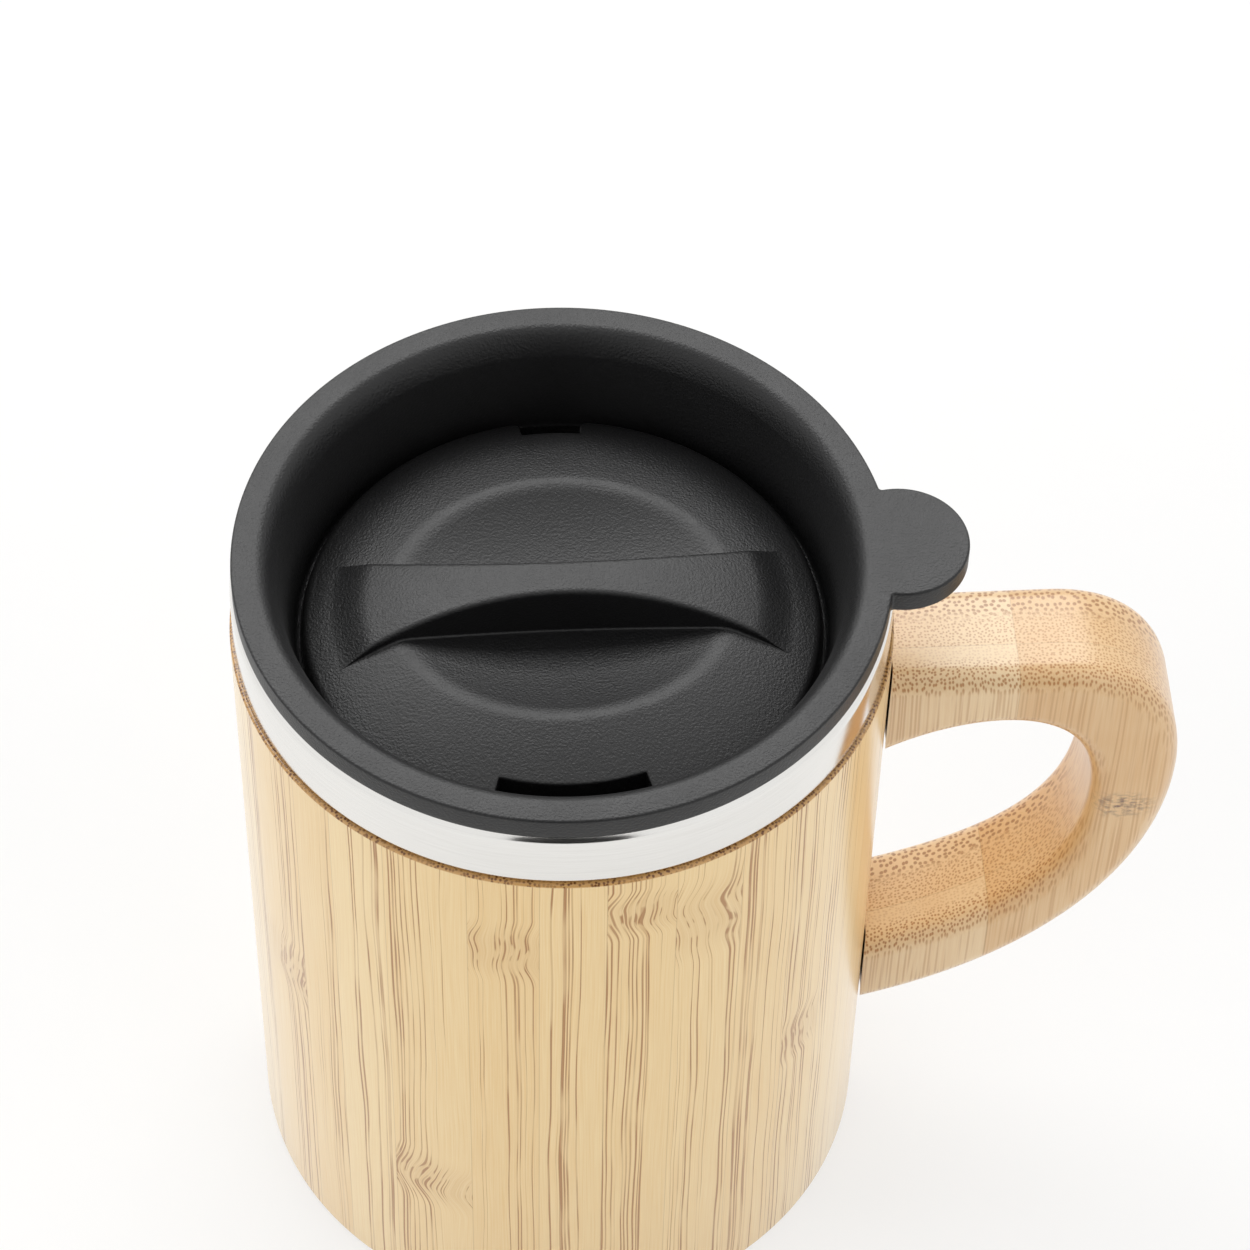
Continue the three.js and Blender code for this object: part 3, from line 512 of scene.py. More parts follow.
def board_bamboo():
    material, tree = new_tree("laminated_bamboo_board")
    place = place_mm(tree)
    axis = add(tree, "SeparateXYZ", {0: place})
    face_up = add(tree, "SeparateXYZ", {0: add(tree, "TexCoord")["Normal"]})["Z"]
    face_up = add(tree, "Math", {0: face_up}, operation="ABSOLUTE")[0]
    end_grain = add(tree, "MapRange", {"Value": face_up, "From Min": 0.1, "From Max": 0.5})[0]
    # Layers and staves
    off_seam = add(tree, "Math", {0: axis["Y"], 1: LAYER_SEAM}, operation="SUBTRACT")[0]
    layer = add(tree, "Math", {0: off_seam, 1: 0}, operation="GREATER_THAN")[0]
    off = add(tree, "Math", {0: off_seam}, operation="ABSOLUTE")[0]
    along = add(tree, "Math", {0: axis["X"], 1: 1 / STAVE_WIDTH, 2: -STAVE_SEAM / STAVE_WIDTH},
                operation="MULTIPLY_ADD")[0]
    stave = add(tree, "Math", {0: along}, operation="FLOOR")[0]
    stave = add(tree, "Math", {0: layer, 1: 7.3, 2: stave}, operation="MULTIPLY_ADD")[0]
    chance = add(tree, "TexWhiteNoise", {"W": stave}, noise_dimensions="1D")["Color"]
    own = add(tree, "SeparateColor", {0: chance})
    joint = add(tree, "Math", {0: along, 1: 1}, operation="PINGPONG")[0]
    near_x = add(tree, "MapRange", {"Value": joint, "From Min": GLUE_LINE / STAVE_WIDTH, "From Max": 0})[0]
    near_y = add(tree, "MapRange", {"Value": off, "From Min": GLUE_LINE, "From Max": 0})[0]
    glue = add(tree, "Math", {0: near_x, 1: near_y}, operation="MAXIMUM")[0]
    # Fibres drift a little as they run up the board
    slow = add(tree, "VectorMath", {0: place, 1: BOARD_DRIFT}, operation="DIVIDE")[0]
    drift = add(tree, "TexNoise", {"Vector": slow, "Scale": 1, "Detail": 1})["Color"]
    drift = add(tree, "VectorMath", {0: drift, 1: (1.5, 1.5, 0), 2: (-0.75, -0.75, 0)},
                operation="MULTIPLY_ADD")[0]
    moved = add(tree, "VectorMath", {0: place, 1: drift}, operation="ADD")[0]
    large_at = add(tree, "VectorMath", {0: moved, 3: 1 / DOT_PITCH}, operation="SCALE")[0]
    small_at = add(tree, "VectorMath", {0: moved, 3: 1 / SMALL_DOT_PITCH}, operation="SCALE")[0]
    large = add(tree, "TexVoronoi", {"Vector": large_at, "Scale": 1, "Randomness": 0.7},
                voronoi_dimensions="2D")["Distance"]
    small = add(tree, "TexVoronoi", {"Vector": small_at, "Scale": 1, "Randomness": 0.75},
                voronoi_dimensions="2D")["Distance"]
    large_dot = add(tree, "MapRange", {"Value": large, "From Min": 0.42, "From Max": 0.2}, **SOFT)[0]
    small_dot = add(tree, "MapRange", {"Value": small, "From Min": 0.44, "From Max": 0.14}, **SOFT)[0]
    # The skin side of the front layer is smooth as far as the stave seam
    skin_side = add(tree, "MapRange", {"Value": axis["X"], "From Min": STAVE_SEAM,
                                       "From Max": STAVE_SEAM + SKIN_EDGE, "To Min": 0.3, "To Max": 0.7})[0]
    at_front = add(tree, "MapRange", {"Value": axis["Y"], "From Min": SKIN_START, "From Max": SKIN_END,
                                      "To Min": skin_side, "To Max": 1}, **SOFT)[0]
    at_front = add(tree, "Mix", {0: layer, 2: at_front, 3: 0.75})[0]
    small_dot = add(tree, "Math", {0: small_dot, 1: at_front}, operation="MULTIPLY")[0]
    at_back = add(tree, "MapRange", {"Value": axis["Y"], "From Min": BACK_START, "From Max": BACK_END},
                  **SOFT)[0]
    dots = add(tree, "Mix", {0: at_back, 2: small_dot, 3: large_dot})[0]
    # Fine fibres and tone
    fine = add(tree, "VectorMath", {0: moved, 1: BOARD_HAIR}, operation="DIVIDE")[0]
    hair = add(tree, "TexNoise", {"Vector": fine, "Scale": 1, "Detail": 2, "Roughness": 0.6})["Fac"]
    cloud_at = add(tree, "VectorMath", {0: place, 3: 1 / BOARD_CLOUD}, operation="SCALE")[0]
    cloud = add(tree, "TexNoise", {"Vector": cloud_at, "Scale": 1, "Detail": 2})["Fac"]
    tone = add(tree, "Math", {0: hair, 1: 0.7, 2: -0.5}, operation="MULTIPLY_ADD")[0]
    tone = add(tree, "Math", {0: own["Red"], 1: 0.25, 2: tone}, operation="MULTIPLY_ADD")[0]
    outer_stave = add(tree, "Math", {0: along, 1: 0}, operation="GREATER_THAN")[0]
    tone = add(tree, "Math", {0: outer_stave, 1: 0.35, 2: tone}, operation="MULTIPLY_ADD")[0]
    tone = add(tree, "Math", {0: cloud, 1: 0.8, 2: tone}, operation="MULTIPLY_ADD", use_clamp=True)[0]
    straw = add(tree, "Mix", {0: tone, 6: linear("#EFD7B0"), 7: linear("#D9AF7A")}, data_type="RGBA")[2]
    strong = add(tree, "MapRange", {"Value": end_grain, "To Min": 0.4, "To Max": 0.75})[0]
    dark = add(tree, "Math", {0: dots, 1: strong}, operation="MULTIPLY")[0]
    inked = add(tree, "Mix", {0: at_back, 6: linear("#A4611E"), 7: linear("#94581E")}, data_type="RGBA")[2]
    ink = add(tree, "Mix", {0: end_grain, 6: linear("#B47F45"), 7: inked}, data_type="RGBA")[2]
    dotted = add(tree, "Mix", {0: dark, 6: straw, 7: ink}, data_type="RGBA")[2]
    glued = add(tree, "Mix", {0: add(tree, "Math", {0: glue, 1: 0.35}, operation="MULTIPLY")[0],
                              6: dotted, 7: linear("#9A7448")}, data_type="RGBA")[2]
    # One knot on the outer bend
    off_knot = add(tree, "VectorMath", {0: place, 1: BOARD_KNOT}, operation="SUBTRACT")[0]
    off_knot = add(tree, "VectorMath", {0: off_knot, 1: BOARD_KNOT_REACH}, operation="DIVIDE")[0]
    away = add(tree, "VectorMath", {0: off_knot}, operation="LENGTH")["Value"]
    knot = add(tree, "MapRange", {"Value": away, "From Min": 1, "From Max": 0.2}, **SOFT)[0]
    fleck_at = add(tree, "VectorMath", {0: place, 1: FLECK}, operation="DIVIDE")[0]
    fleck = add(tree, "TexNoise", {"Vector": fleck_at, "Scale": 1, "Detail": 3})["Fac"]
    fleck = add(tree, "MapRange", {"Value": fleck, "From Min": 0.42, "From Max": 0.66})[0]
    stain = add(tree, "Math", {0: knot, 1: fleck}, operation="MULTIPLY")[0]
    colour = add(tree, "Mix", {0: stain, 6: glued, 7: linear("#6E5145")}, data_type="RGBA")[2]
    relief = add(tree, "Math", {0: hair, 1: 0.3}, operation="MULTIPLY")[0]
    relief = add(tree, "Math", {0: relief, 1: dots}, operation="SUBTRACT")[0]
    bump = add(tree, "Bump", {"Height": relief, "Strength": 0.25, "Distance": GRAIN_RELIEF * MM})[0]
    rough = add(tree, "Math", {0: hair, 1: 0.15, 2: 0.26}, operation="MULTIPLY_ADD")[0]
    shader = add(tree, "BsdfPrincipled", {
        "Base Color": colour, "Roughness": rough, "Normal": bump, "IOR": 1.5, "Specular IOR Level": 0.25,
        "Coat Weight": 0.8, "Coat Roughness": 0.32})[0]
    add(tree, "OutputMaterial", {0: shader})
    return material


# Stainless steel, drawn and polished on a lathe. The eye sees a bright, nearly white mirror with faint
# scratches that all run round the mug. Real polishing marks are about 0.02 mm apart; they are drawn
# coarser so that they show.
POLISH_MARK = 0.22
POLISH_RUN = 9
POLISH_RELIEF = 0.01
STEEL_CLOUD = 11


def spun_steel(name, roughness, relief):
    material, tree = new_tree(name)
    place = place_mm(tree)
    axis = add(tree, "SeparateXYZ", {0: place})
    turn = add(tree, "Math", {0: axis["Y"], 1: axis["X"]}, operation="ARCTAN2")[0]
    flat = add(tree, "VectorMath", {0: place, 1: (1, 1, 0)}, operation="MULTIPLY")[0]
    depth = add(tree, "VectorMath", {0: flat}, operation="LENGTH")["Value"]
    round_at = add(tree, "CombineXYZ", {
        0: add(tree, "Math", {0: turn, 1: BAND_RADIUS / POLISH_RUN}, operation="MULTIPLY")[0],
        1: add(tree, "Math", {0: depth, 1: 1 / POLISH_MARK}, operation="MULTIPLY")[0],
        2: add(tree, "Math", {0: axis["Z"], 1: 1 / POLISH_MARK}, operation="MULTIPLY")[0]})[0]
    marks = add(tree, "TexNoise", {"Vector": round_at, "Scale": 1, "Detail": 3, "Roughness": 0.65})["Fac"]
    cloud_at = add(tree, "VectorMath", {0: place, 3: 1 / STEEL_CLOUD}, operation="SCALE")[0]
    cloud = add(tree, "TexNoise", {"Vector": cloud_at, "Scale": 1, "Detail": 2})["Fac"]
    colour = add(tree, "Mix", {0: marks, 6: linear("#E2E0DC"), 7: linear("#F1F0ED")}, data_type="RGBA")[2]
    rough = add(tree, "Math", {0: marks, 1: 0.14, 2: roughness - 0.1}, operation="MULTIPLY_ADD")[0]
    rough = add(tree, "Math", {0: cloud, 1: 0.06, 2: rough}, operation="MULTIPLY_ADD")[0]
    bump = add(tree, "Bump", {"Height": marks, "Strength": relief, "Distance": POLISH_RELIEF * MM})[0]
    shader = add(tree, "BsdfPrincipled", {"Base Color": colour, "Metallic": 1, "Roughness": rough,
                                          "Normal": bump})[0]
    add(tree, "OutputMaterial", {0: shader})
    return material


# Black polypropylene, injection moulded in a spark-eroded mould. The eye sees a matt black with a fine
# even grain that breaks up the soft highlights and turns grey where it faces the light.
# Real mould grain is about 0.1 mm; it is drawn coarser so that it shows.
MOULD_GRAIN = 0.36
MOULD_RELIEF = 0.12
MOULD_CLOUD = 7


def moulded_polypropylene():
    material, tree = new_tree("polypropylene_moulded_black")
    place = place_mm(tree)
    grain_at = add(tree, "VectorMath", {0: place, 3: 1 / MOULD_GRAIN}, operation="SCALE")[0]
    grain = add(tree, "TexNoise", {"Vector": grain_at, "Scale": 1, "Detail": 2, "Roughness": 0.6})["Fac"]
    cloud_at = add(tree, "VectorMath", {0: place, 3: 1 / MOULD_CLOUD}, operation="SCALE")[0]
    cloud = add(tree, "TexNoise", {"Vector": cloud_at, "Scale": 1, "Detail": 3})["Fac"]
    colour = add(tree, "Mix", {0: grain, 6: linear("#090909"), 7: linear("#111112")}, data_type="RGBA")[2]
    rough = add(tree, "Math", {0: cloud, 1: 0.12, 2: 0.36}, operation="MULTIPLY_ADD")[0]
    bump = add(tree, "Bump", {"Height": grain, "Strength": 0.8, "Distance": MOULD_RELIEF * MM})[0]
    shader = add(tree, "BsdfPrincipled", {"Base Color": colour, "Roughness": rough, "Normal": bump,
                                          "IOR": 1.49})[0]
    add(tree, "OutputMaterial", {0: shader})
    return material


# Silicone rubber, compression moulded. The eye sees a soft dull grey-black with a dusty bloom.
BLOOM = 2.4
BLOOM_RELIEF = 0.05


def moulded_silicone():
    material, tree = new_tree("silicone_moulded")
    place = place_mm(tree)
    bloom_at = add(tree, "VectorMath", {0: place, 3: 1 / BLOOM}, operation="SCALE")[0]
    bloom = add(tree, "TexNoise", {"Vector": bloom_at, "Scale": 1, "Detail": 4})["Fac"]
    colour = add(tree, "Mix", {0: bloom, 6: linear("#303134"), 7: linear("#44454A")}, data_type="RGBA")[2]
    rough = add(tree, "Math", {0: bloom, 1: 0.2, 2: 0.55}, operation="MULTIPLY_ADD")[0]
    bump = add(tree, "Bump", {"Height": bloom, "Strength": 0.2, "Distance": BLOOM_RELIEF * MM})[0]
    shader = add(tree, "BsdfPrincipled", {"Base Color": colour, "Roughness": rough, "Normal": bump,
                                          "IOR": 1.41, "Subsurface Weight": 0.03})[0]
    add(tree, "OutputMaterial", {0: shader})
    return material


bamboo = turned_bamboo()
handle_bamboo = board_bamboo()
band_steel = spun_steel("stainless_steel_polished", roughness=0.14, relief=0.2)
flask_steel = spun_steel("stainless_steel_spun", roughness=0.36, relief=0.5)
polypropylene = moulded_polypropylene()
silicone = moulded_silicone()


# Bamboo sleeve and foot disc

sleeve = rounded((
    (SLEEVE_BORE + BASE_REBATE, 0, 0),
    (BODY_RADIUS, 0, SLEEVE_FOOT_ROUND),
    (BODY_RADIUS, BODY_HEIGHT, SLEEVE_TOP_ROUND),
    (SLEEVE_BORE, BODY_HEIGHT, 0),
    (SLEEVE_BORE, BASE_THICKNESS, 0),
    (SLEEVE_BORE + BASE_REBATE, BASE_THICKNESS, 0),
))
made = mesh_object("turned_sleeve", *turned(sleeve, True))
finish_piece(made, bamboo, "mug", "bamboo", "bamboo_sleeve")

foot = rounded((
    (0, 0, 0),
    (BASE_RADIUS, 0, BASE_EDGE),
    (BASE_RADIUS, BASE_THICKNESS, 0),
    (0, BASE_THICKNESS, 0),
))
made = mesh_object("foot_disc", *turned(foot, False))
finish_piece(made, bamboo, "mug", "bamboo", "bamboo_base")


# Steel band and liner

LIP_INNER = LINER_RADIUS + WELD_GAP
BAND_BORE = BAND_RADIUS - STEEL_WALL
band = rounded((
    (SHELL_BORE, BAND_FOOT, 0),
    (BAND_RADIUS, BAND_FOOT, BAND_ROUND),
    (BAND_RADIUS, MOUTH_HEIGHT, LIP_ROUND),
    (LIP_INNER, MOUTH_HEIGHT, 0),
    (LIP_INNER, MOUTH_HEIGHT - STEEL_WALL, 0),
    (BAND_BORE, MOUTH_HEIGHT - STEEL_WALL, LIP_ROUND - STEEL_WALL),
    (BAND_BORE, BAND_FOOT + STEEL_WALL, 0),
    (SHELL_BORE, BAND_FOOT + STEEL_WALL, 0),
))
made = mesh_object("polished_band", *turned(band, True))
finish_piece(made, band_steel, "mug", "steel", "steel_band")

liner = rounded((
    (0, LINER_FOOT, 0),
    (LINER_RADIUS, LINER_FOOT, LINER_CORNER),
    (LINER_RADIUS, MOUTH_HEIGHT, 0),
    (LINER_BORE, MOUTH_HEIGHT, 0),
    (LINER_BORE, LINER_FOOT + STEEL_WALL, LINER_CORNER - STEEL_WALL),
    (0, LINER_FOOT + STEEL_WALL, 0),
))
made = mesh_object("drawn_liner", *turned(liner, False))
finish_piece(made, flask_steel, "mug", "steel", "inner_liner")

# Hidden solids that keep their own mesh
for node, material in (("outer_shell", flask_steel), ("shell_base", flask_steel),
                       ("dial_screw", flask_steel), ("dial_seal", silicone)):
    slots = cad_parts[node].data.materials
    slots.clear()
    slots.append(material)


# Handle: outlines at several depths of the board, drawn in over the rounded edges

def handle_edges():
    """The outer and the inner edge of the ear, each from the upper root to the lower one."""
    inner_reach = HANDLE_REACH - SIDE_THICKNESS
    inner_side = ARM_THICKNESS + CROWN_TO_SIDE
    lower_inner = HANDLE_HEIGHT - LOWER_ROOT
    run_out, run_up = math.cos(LOWER_SLOPE), math.sin(LOWER_SLOPE)
    root_out, root_up = ROOT_PULL * math.cos(UPPER_ROOT_SLOPE), ROOT_PULL * math.sin(UPPER_ROOT_SLOPE)
    outer = (
        ((0, 0), (HANDLE_FLAT, 0)),
        ((HANDLE_FLAT, 0), (HANDLE_FLAT + CORNER_PULL * (HANDLE_REACH - HANDLE_FLAT), 0),
         (HANDLE_REACH, HANDLE_SIDE_DROP * (1 - CORNER_PULL)), (HANDLE_REACH, HANDLE_SIDE_DROP)),
        ((HANDLE_REACH, HANDLE_SIDE_DROP), (HANDLE_REACH, HANDLE_SIDE_DROP + OUTER_SWEEP),
         (OUTER_RUN * run_out, HANDLE_HEIGHT - OUTER_RUN * run_up), (0, HANDLE_HEIGHT)),
    )
    inner = (
        ((0, UPPER_ROOT), (root_out, UPPER_ROOT - root_up), (CROWN_OUT - ROOT_PULL, ARM_THICKNESS),
         (CROWN_OUT, ARM_THICKNESS)),
        ((CROWN_OUT, ARM_THICKNESS), (CROWN_OUT + CORNER_PULL * (inner_reach - CROWN_OUT), ARM_THICKNESS),
         (inner_reach, inner_side - CORNER_PULL * CROWN_TO_SIDE), (inner_reach, inner_side)),
        ((inner_reach, inner_side), (inner_reach, inner_side + INNER_SWEEP),
         (INNER_RUN * run_out, lower_inner - INNER_RUN * run_up), (0, lower_inner)),
    )
    edges = []
    for parts in (outer, inner):
        drawn = np.concatenate([curve(part, CURVE_STEPS)[bool(i):] for i, part in enumerate(parts)])
        edges.append(np.stack([BODY_RADIUS + drawn[:, 0], HANDLE_TOP - drawn[:, 1]], 1))
    return edges


def drawn_in(edge, amount, depth, side):
    """A handle edge moved into the board, with its ends carried to the round of the body."""
    along = np.gradient(edge, axis=0)
    along /= np.linalg.norm(along, axis=1)[:, None]
    moved = edge + side * amount * np.stack([along[:, 1], -along[:, 0]], 1)
    scribe = math.sqrt((BODY_RADIUS + HANDLE_GAP) ** 2 - depth**2)
    outside = np.flatnonzero(moved[:, 0] > scribe)
    first, last = outside[0], outside[-1]
    upper_root = slice(0, max(first, 1))
    lower_root = slice(min(last + 1, len(moved) - 1), None)
    for end, root in ((first, upper_root), (last, lower_root)):
        slope = along[end, 1] / along[end, 0]
        moved[root] = scribe, moved[end, 1] + (scribe - moved[end, 0]) * slope
    return moved


def ear_handle():
    outer, inner = handle_edges()
    turns = np.linspace(0, math.pi / 2, 2 * ROUND_STEPS + 1)
    half = HANDLE_WIDTH / 2 - HANDLE_ROUND
    front = [(HANDLE_ROUND * (1 - math.sin(a)), -half - HANDLE_ROUND * math.cos(a)) for a in turns]
    layers = front + [(amount, -depth) for amount, depth in reversed(front)]
    loops = []
    for amount, depth in layers:
        there = drawn_in(outer, amount, depth, 1)
        back = drawn_in(inner, amount, depth, -1)[::-1]
        plan = np.concatenate([there, back])
        loops.append(np.stack([plan[:, 0], np.full(len(plan), depth), plan[:, 1]], 1))
    return capped(loops)


made = mesh_object("ear_handle", *ear_handle())
finish_piece(made, handle_bamboo, "mug", "bamboo_board",
             "handle", "handle_dowel_upper", "handle_dowel_lower")


# Lid: rings of the turned section, with the rim's outline swung out round the thumb tab

def rim_outline():
    """Plan of the rim and tab with small fillets between them, anticlockwise from the tab's tip."""
    tab_x = TAB_TIP - TAB_RADIUS
    rim_reach, tab_reach = LID_RADIUS + TAB_FILLET, TAB_RADIUS + TAB_FILLET
    beta = math.acos((rim_reach**2 + tab_x**2 - tab_reach**2) / (2 * rim_reach * tab_x))
    middle = rim_reach * np.array((math.cos(beta), math.sin(beta)))
    gamma = math.atan2(middle[1], middle[0] - tab_x)
    tab = np.linspace(0, gamma, TAB_STEPS, endpoint=False)
    tab = np.stack([tab_x + TAB_RADIUS * np.cos(tab), TAB_RADIUS * np.sin(tab)], 1)
    fillet = np.linspace(gamma - math.pi, beta - math.pi, TAB_FILLET_STEPS, endpoint=False)
    fillet = middle + TAB_FILLET * np.stack([np.cos(fillet), np.sin(fillet)], 1)
    rim = np.linspace(beta, math.pi, RIM_STEPS)
    rim = LID_RADIUS * np.stack([np.cos(rim), np.sin(rim)], 1)
    half = np.concatenate([tab, fillet, rim])
    return np.concatenate([half, half[-2:0:-1] * (1, -1)])


def moulded_lid():
    outline = rim_outline()
    outward = normals_of(outline)
    angles = np.arctan2(outline[:, 1], outline[:, 0])
    groove_top = LID_TOP - GROOVE_DROP + GROOVE_HEIGHT / 2
    groove_foot = groove_top - GROOVE_HEIGHT
    rim_under = LID_TOP - RIM_THICKNESS
    plug = rounded((
        (HUB_RADIUS + HUB_GAP, LID_UNDER, HUB_ROUND),
        (PLUG_RADIUS, LID_UNDER, PLUG_CHAMFER),
        (PLUG_RADIUS, groove_foot, 0),
        (GROOVE_RADIUS, groove_foot, 0),
        (GROOVE_RADIUS, groove_top, 0),
        (PLUG_RADIUS, groove_top, 0),
        (PLUG_RADIUS, rim_under, 0),
        (HUB_RADIUS + HUB_GAP, rim_under, 0),
    ))[:-1]
    shoulder = curve(((LID_RADIUS - RIM_FACE, LID_TOP), (WELL_TOP_RADIUS + SHOULDER_OUT, LID_TOP),
                      (WELL_TOP_RADIUS, LID_TOP - SHOULDER_DEPTH)), SHOULDER_STEPS)
    bottom = LID_TOP - WELL_DEPTH
    fillet = curve(((WELL_RADIUS + WELL_FILLET * WELL_DRAFT / WELL_DEPTH, bottom + WELL_FILLET),
                    (WELL_RADIUS, bottom), (WELL_RADIUS - WELL_FILLET, bottom)), ROUND_STEPS)
    well = [*shoulder, *fillet, (HUB_RADIUS + HUB_GAP, bottom)]
    loops = [ring(radius, height, angles) for radius, height in plug]
    corner = curve(((RIM_EDGE, 0), (0, 0), (0, RIM_EDGE)), ROUND_STEPS)
    under = [(inset, rim_under + up) for inset, up in corner]
    over = [(inset, LID_TOP - down) for inset, down in corner[::-1]]
    for inset, height in under + over:
        plan = outline - outward * inset
        loops.append(np.column_stack([plan, np.full(len(plan), height)]))
    loops += [ring(radius, height, angles) for radius, height in well]
    return skin(loops, True)


def port_cutter(inner, outer, direction, angle):
    """A curved block that opens a port through the floor of the lid."""
    turns = np.linspace(direction - angle / 2, direction + angle / 2, PORT_STEPS + 1)
    low = LID_UNDER - PORT_OVERCUT
    high = LID_TOP - WELL_DEPTH + PORT_OVERCUT
    loops = []
    for height in (low, high):
        loops.append(np.concatenate([ring(outer, height, turns), ring(inner, height, turns[::-1])]))
    return mesh_object("port", *capped(loops))


made = mesh_object("moulded_lid", *moulded_lid())
for depth, direction, angle in ((DRINK_DEPTH, -math.pi / 2, DRINK_ANGLE),
                                (VENT_DEPTH, math.pi / 2, VENT_ANGLE)):
    cut(made, port_cutter(DIAL_RADIUS - depth + PORT_MARGIN, PORT_REACH, direction,
                          angle - 2 * PORT_MARGIN / PORT_RADIUS))
finish_piece(made, polypropylene, "lid", "black_plastic", "lid_body")

gasket_middle = LID_TOP - GROOVE_DROP
gasket_half = (gasket_high.z - gasket_low.z) / 2
gasket_outer = gasket_high.x
gasket_waist = gasket_outer - GASKET_LIP
gasket = rounded((
    (GASKET_INNER, gasket_middle - gasket_half, 0),
    (gasket_waist, gasket_middle - gasket_half, GASKET_WAIST_ROUND),
    (gasket_outer, gasket_middle - gasket_half / 2, GASKET_LIP_ROUND),
    (gasket_waist, gasket_middle, GASKET_WAIST_ROUND),
    (gasket_outer, gasket_middle + gasket_half / 2, GASKET_LIP_ROUND),
    (gasket_waist, gasket_middle + gasket_half, GASKET_WAIST_ROUND),
    (GASKET_INNER, gasket_middle + gasket_half, 0),
))
made = mesh_object("plug_gasket", *turned(gasket, True))
finish_piece(made, silicone, "lid", "silicone", "lid_gasket")


# Dial: loops that spread from the middle of the grip bar over its edge and foot, across the bowl and
# ring to the notched outline, and back underneath to the hub

def sphere_at(plan, radius, drop):
    return np.sqrt(radius**2 - plan[:, 0] ** 2 - plan[:, 1] ** 2) - radius - drop


def floor_at(plan):
    """Height of the ring and of the bowl sunk in it, with a soft ridge between them."""
    ring_height = sphere_at(plan, RING_RADIUS, RING_DROP)
    squeezed = (plan[:, 0] / BOWL_STRETCH) ** 2 + plan[:, 1] ** 2
    bowl = BOWL_RADIUS - np.sqrt(np.maximum(BOWL_RADIUS**2 - squeezed, 0)) - BOWL_DROP
    share = np.clip(0.5 + (ring_height - bowl) / (2 * RIDGE_SOFT), 0, 1)
    return ring_height + (bowl - ring_height) * share - RIDGE_SOFT * share * (1 - share)


def bar_at(plan):
    """Height of the bar's crown, which sinks into the ring at both ends."""
    reach = np.hypot(plan[:, 0], plan[:, 1])
    share = np.clip((reach - BAR_LENGTH / 2 + BAR_FADE) / BAR_FADE, 0, 1)
    share = share**2 * (3 - 2 * share)
    return sphere_at(plan, DOME_RADIUS, BAR_DROP) * (1 - share) + floor_at(plan) * share


def bar_outline():
    """Plan of the grip bar, anticlockwise from the middle of its +X end."""
    end = BAR_LENGTH / 2
    straight = end - BAR_CORNER

    def half_width(x):
        return BAR_WAIST / 2 + x**2 / (2 * BAR_HOLLOW_RADIUS)

    tip = curve(((end, 0), (end, half_width(end) - BAR_CORNER)), BAR_TIP_STEPS)[:-1]
    corner = curve(((end, half_width(end) - BAR_CORNER), (end, half_width(end)),
                    (straight, half_width(straight))), BAR_CORNER_STEPS)
    run = np.linspace(straight, 0, QUARTER_STEPS - BAR_TIP_STEPS - BAR_CORNER_STEPS + 1)[1:]
    side = np.stack([run, half_width(run)], 1)
    quarter = np.concatenate([tip, corner, side])
    half = np.concatenate([quarter, quarter[-2::-1] * (-1, 1)])
    return np.concatenate([half, half[-2:0:-1] * (1, -1)])


def notched_quarter(depth, angle):
    """A quarter of the dial's plan from +X up to the middle of a notch at +Y."""
    def at(radius, angles):
        return radius * np.cos(angles), radius * np.sin(angles)

    side = math.pi / 2 - angle / 2
    flare = side - NOTCH_ROUND / DIAL_RADIUS
    inner = DIAL_RADIUS - depth
    turns = np.linspace(0, flare, NOTCH_ARC_STEPS + 1)
    arc = np.stack(at(DIAL_RADIUS, turns), 1)
    flared = curve((at(DIAL_RADIUS, flare), at(DIAL_RADIUS, side), at(DIAL_RADIUS - NOTCH_ROUND, side)),
                   ROUND_STEPS)
    line = curve((at(DIAL_RADIUS - NOTCH_ROUND, side), at(inner, side)), NOTCH_SIDE_STEPS)
    bottom_steps = QUARTER_STEPS - NOTCH_ARC_STEPS - NOTCH_SIDE_STEPS - ROUND_STEPS
    turns = np.linspace(side, math.pi / 2, bottom_steps + 1)
    bottom = np.stack(at(inner, turns), 1)
    return np.concatenate([arc, flared[1:], line[1:], bottom[1:]])


def dial_outline():
    vent = notched_quarter(VENT_DEPTH, VENT_ANGLE)
    drink = notched_quarter(DRINK_DEPTH, DRINK_ANGLE)
    upper = np.concatenate([vent, vent[-2::-1] * (-1, 1)])
    lower = np.concatenate([drink, drink[-2::-1] * (-1, 1)]) * (1, -1)
    return np.concatenate([upper, lower[-2:0:-1]])


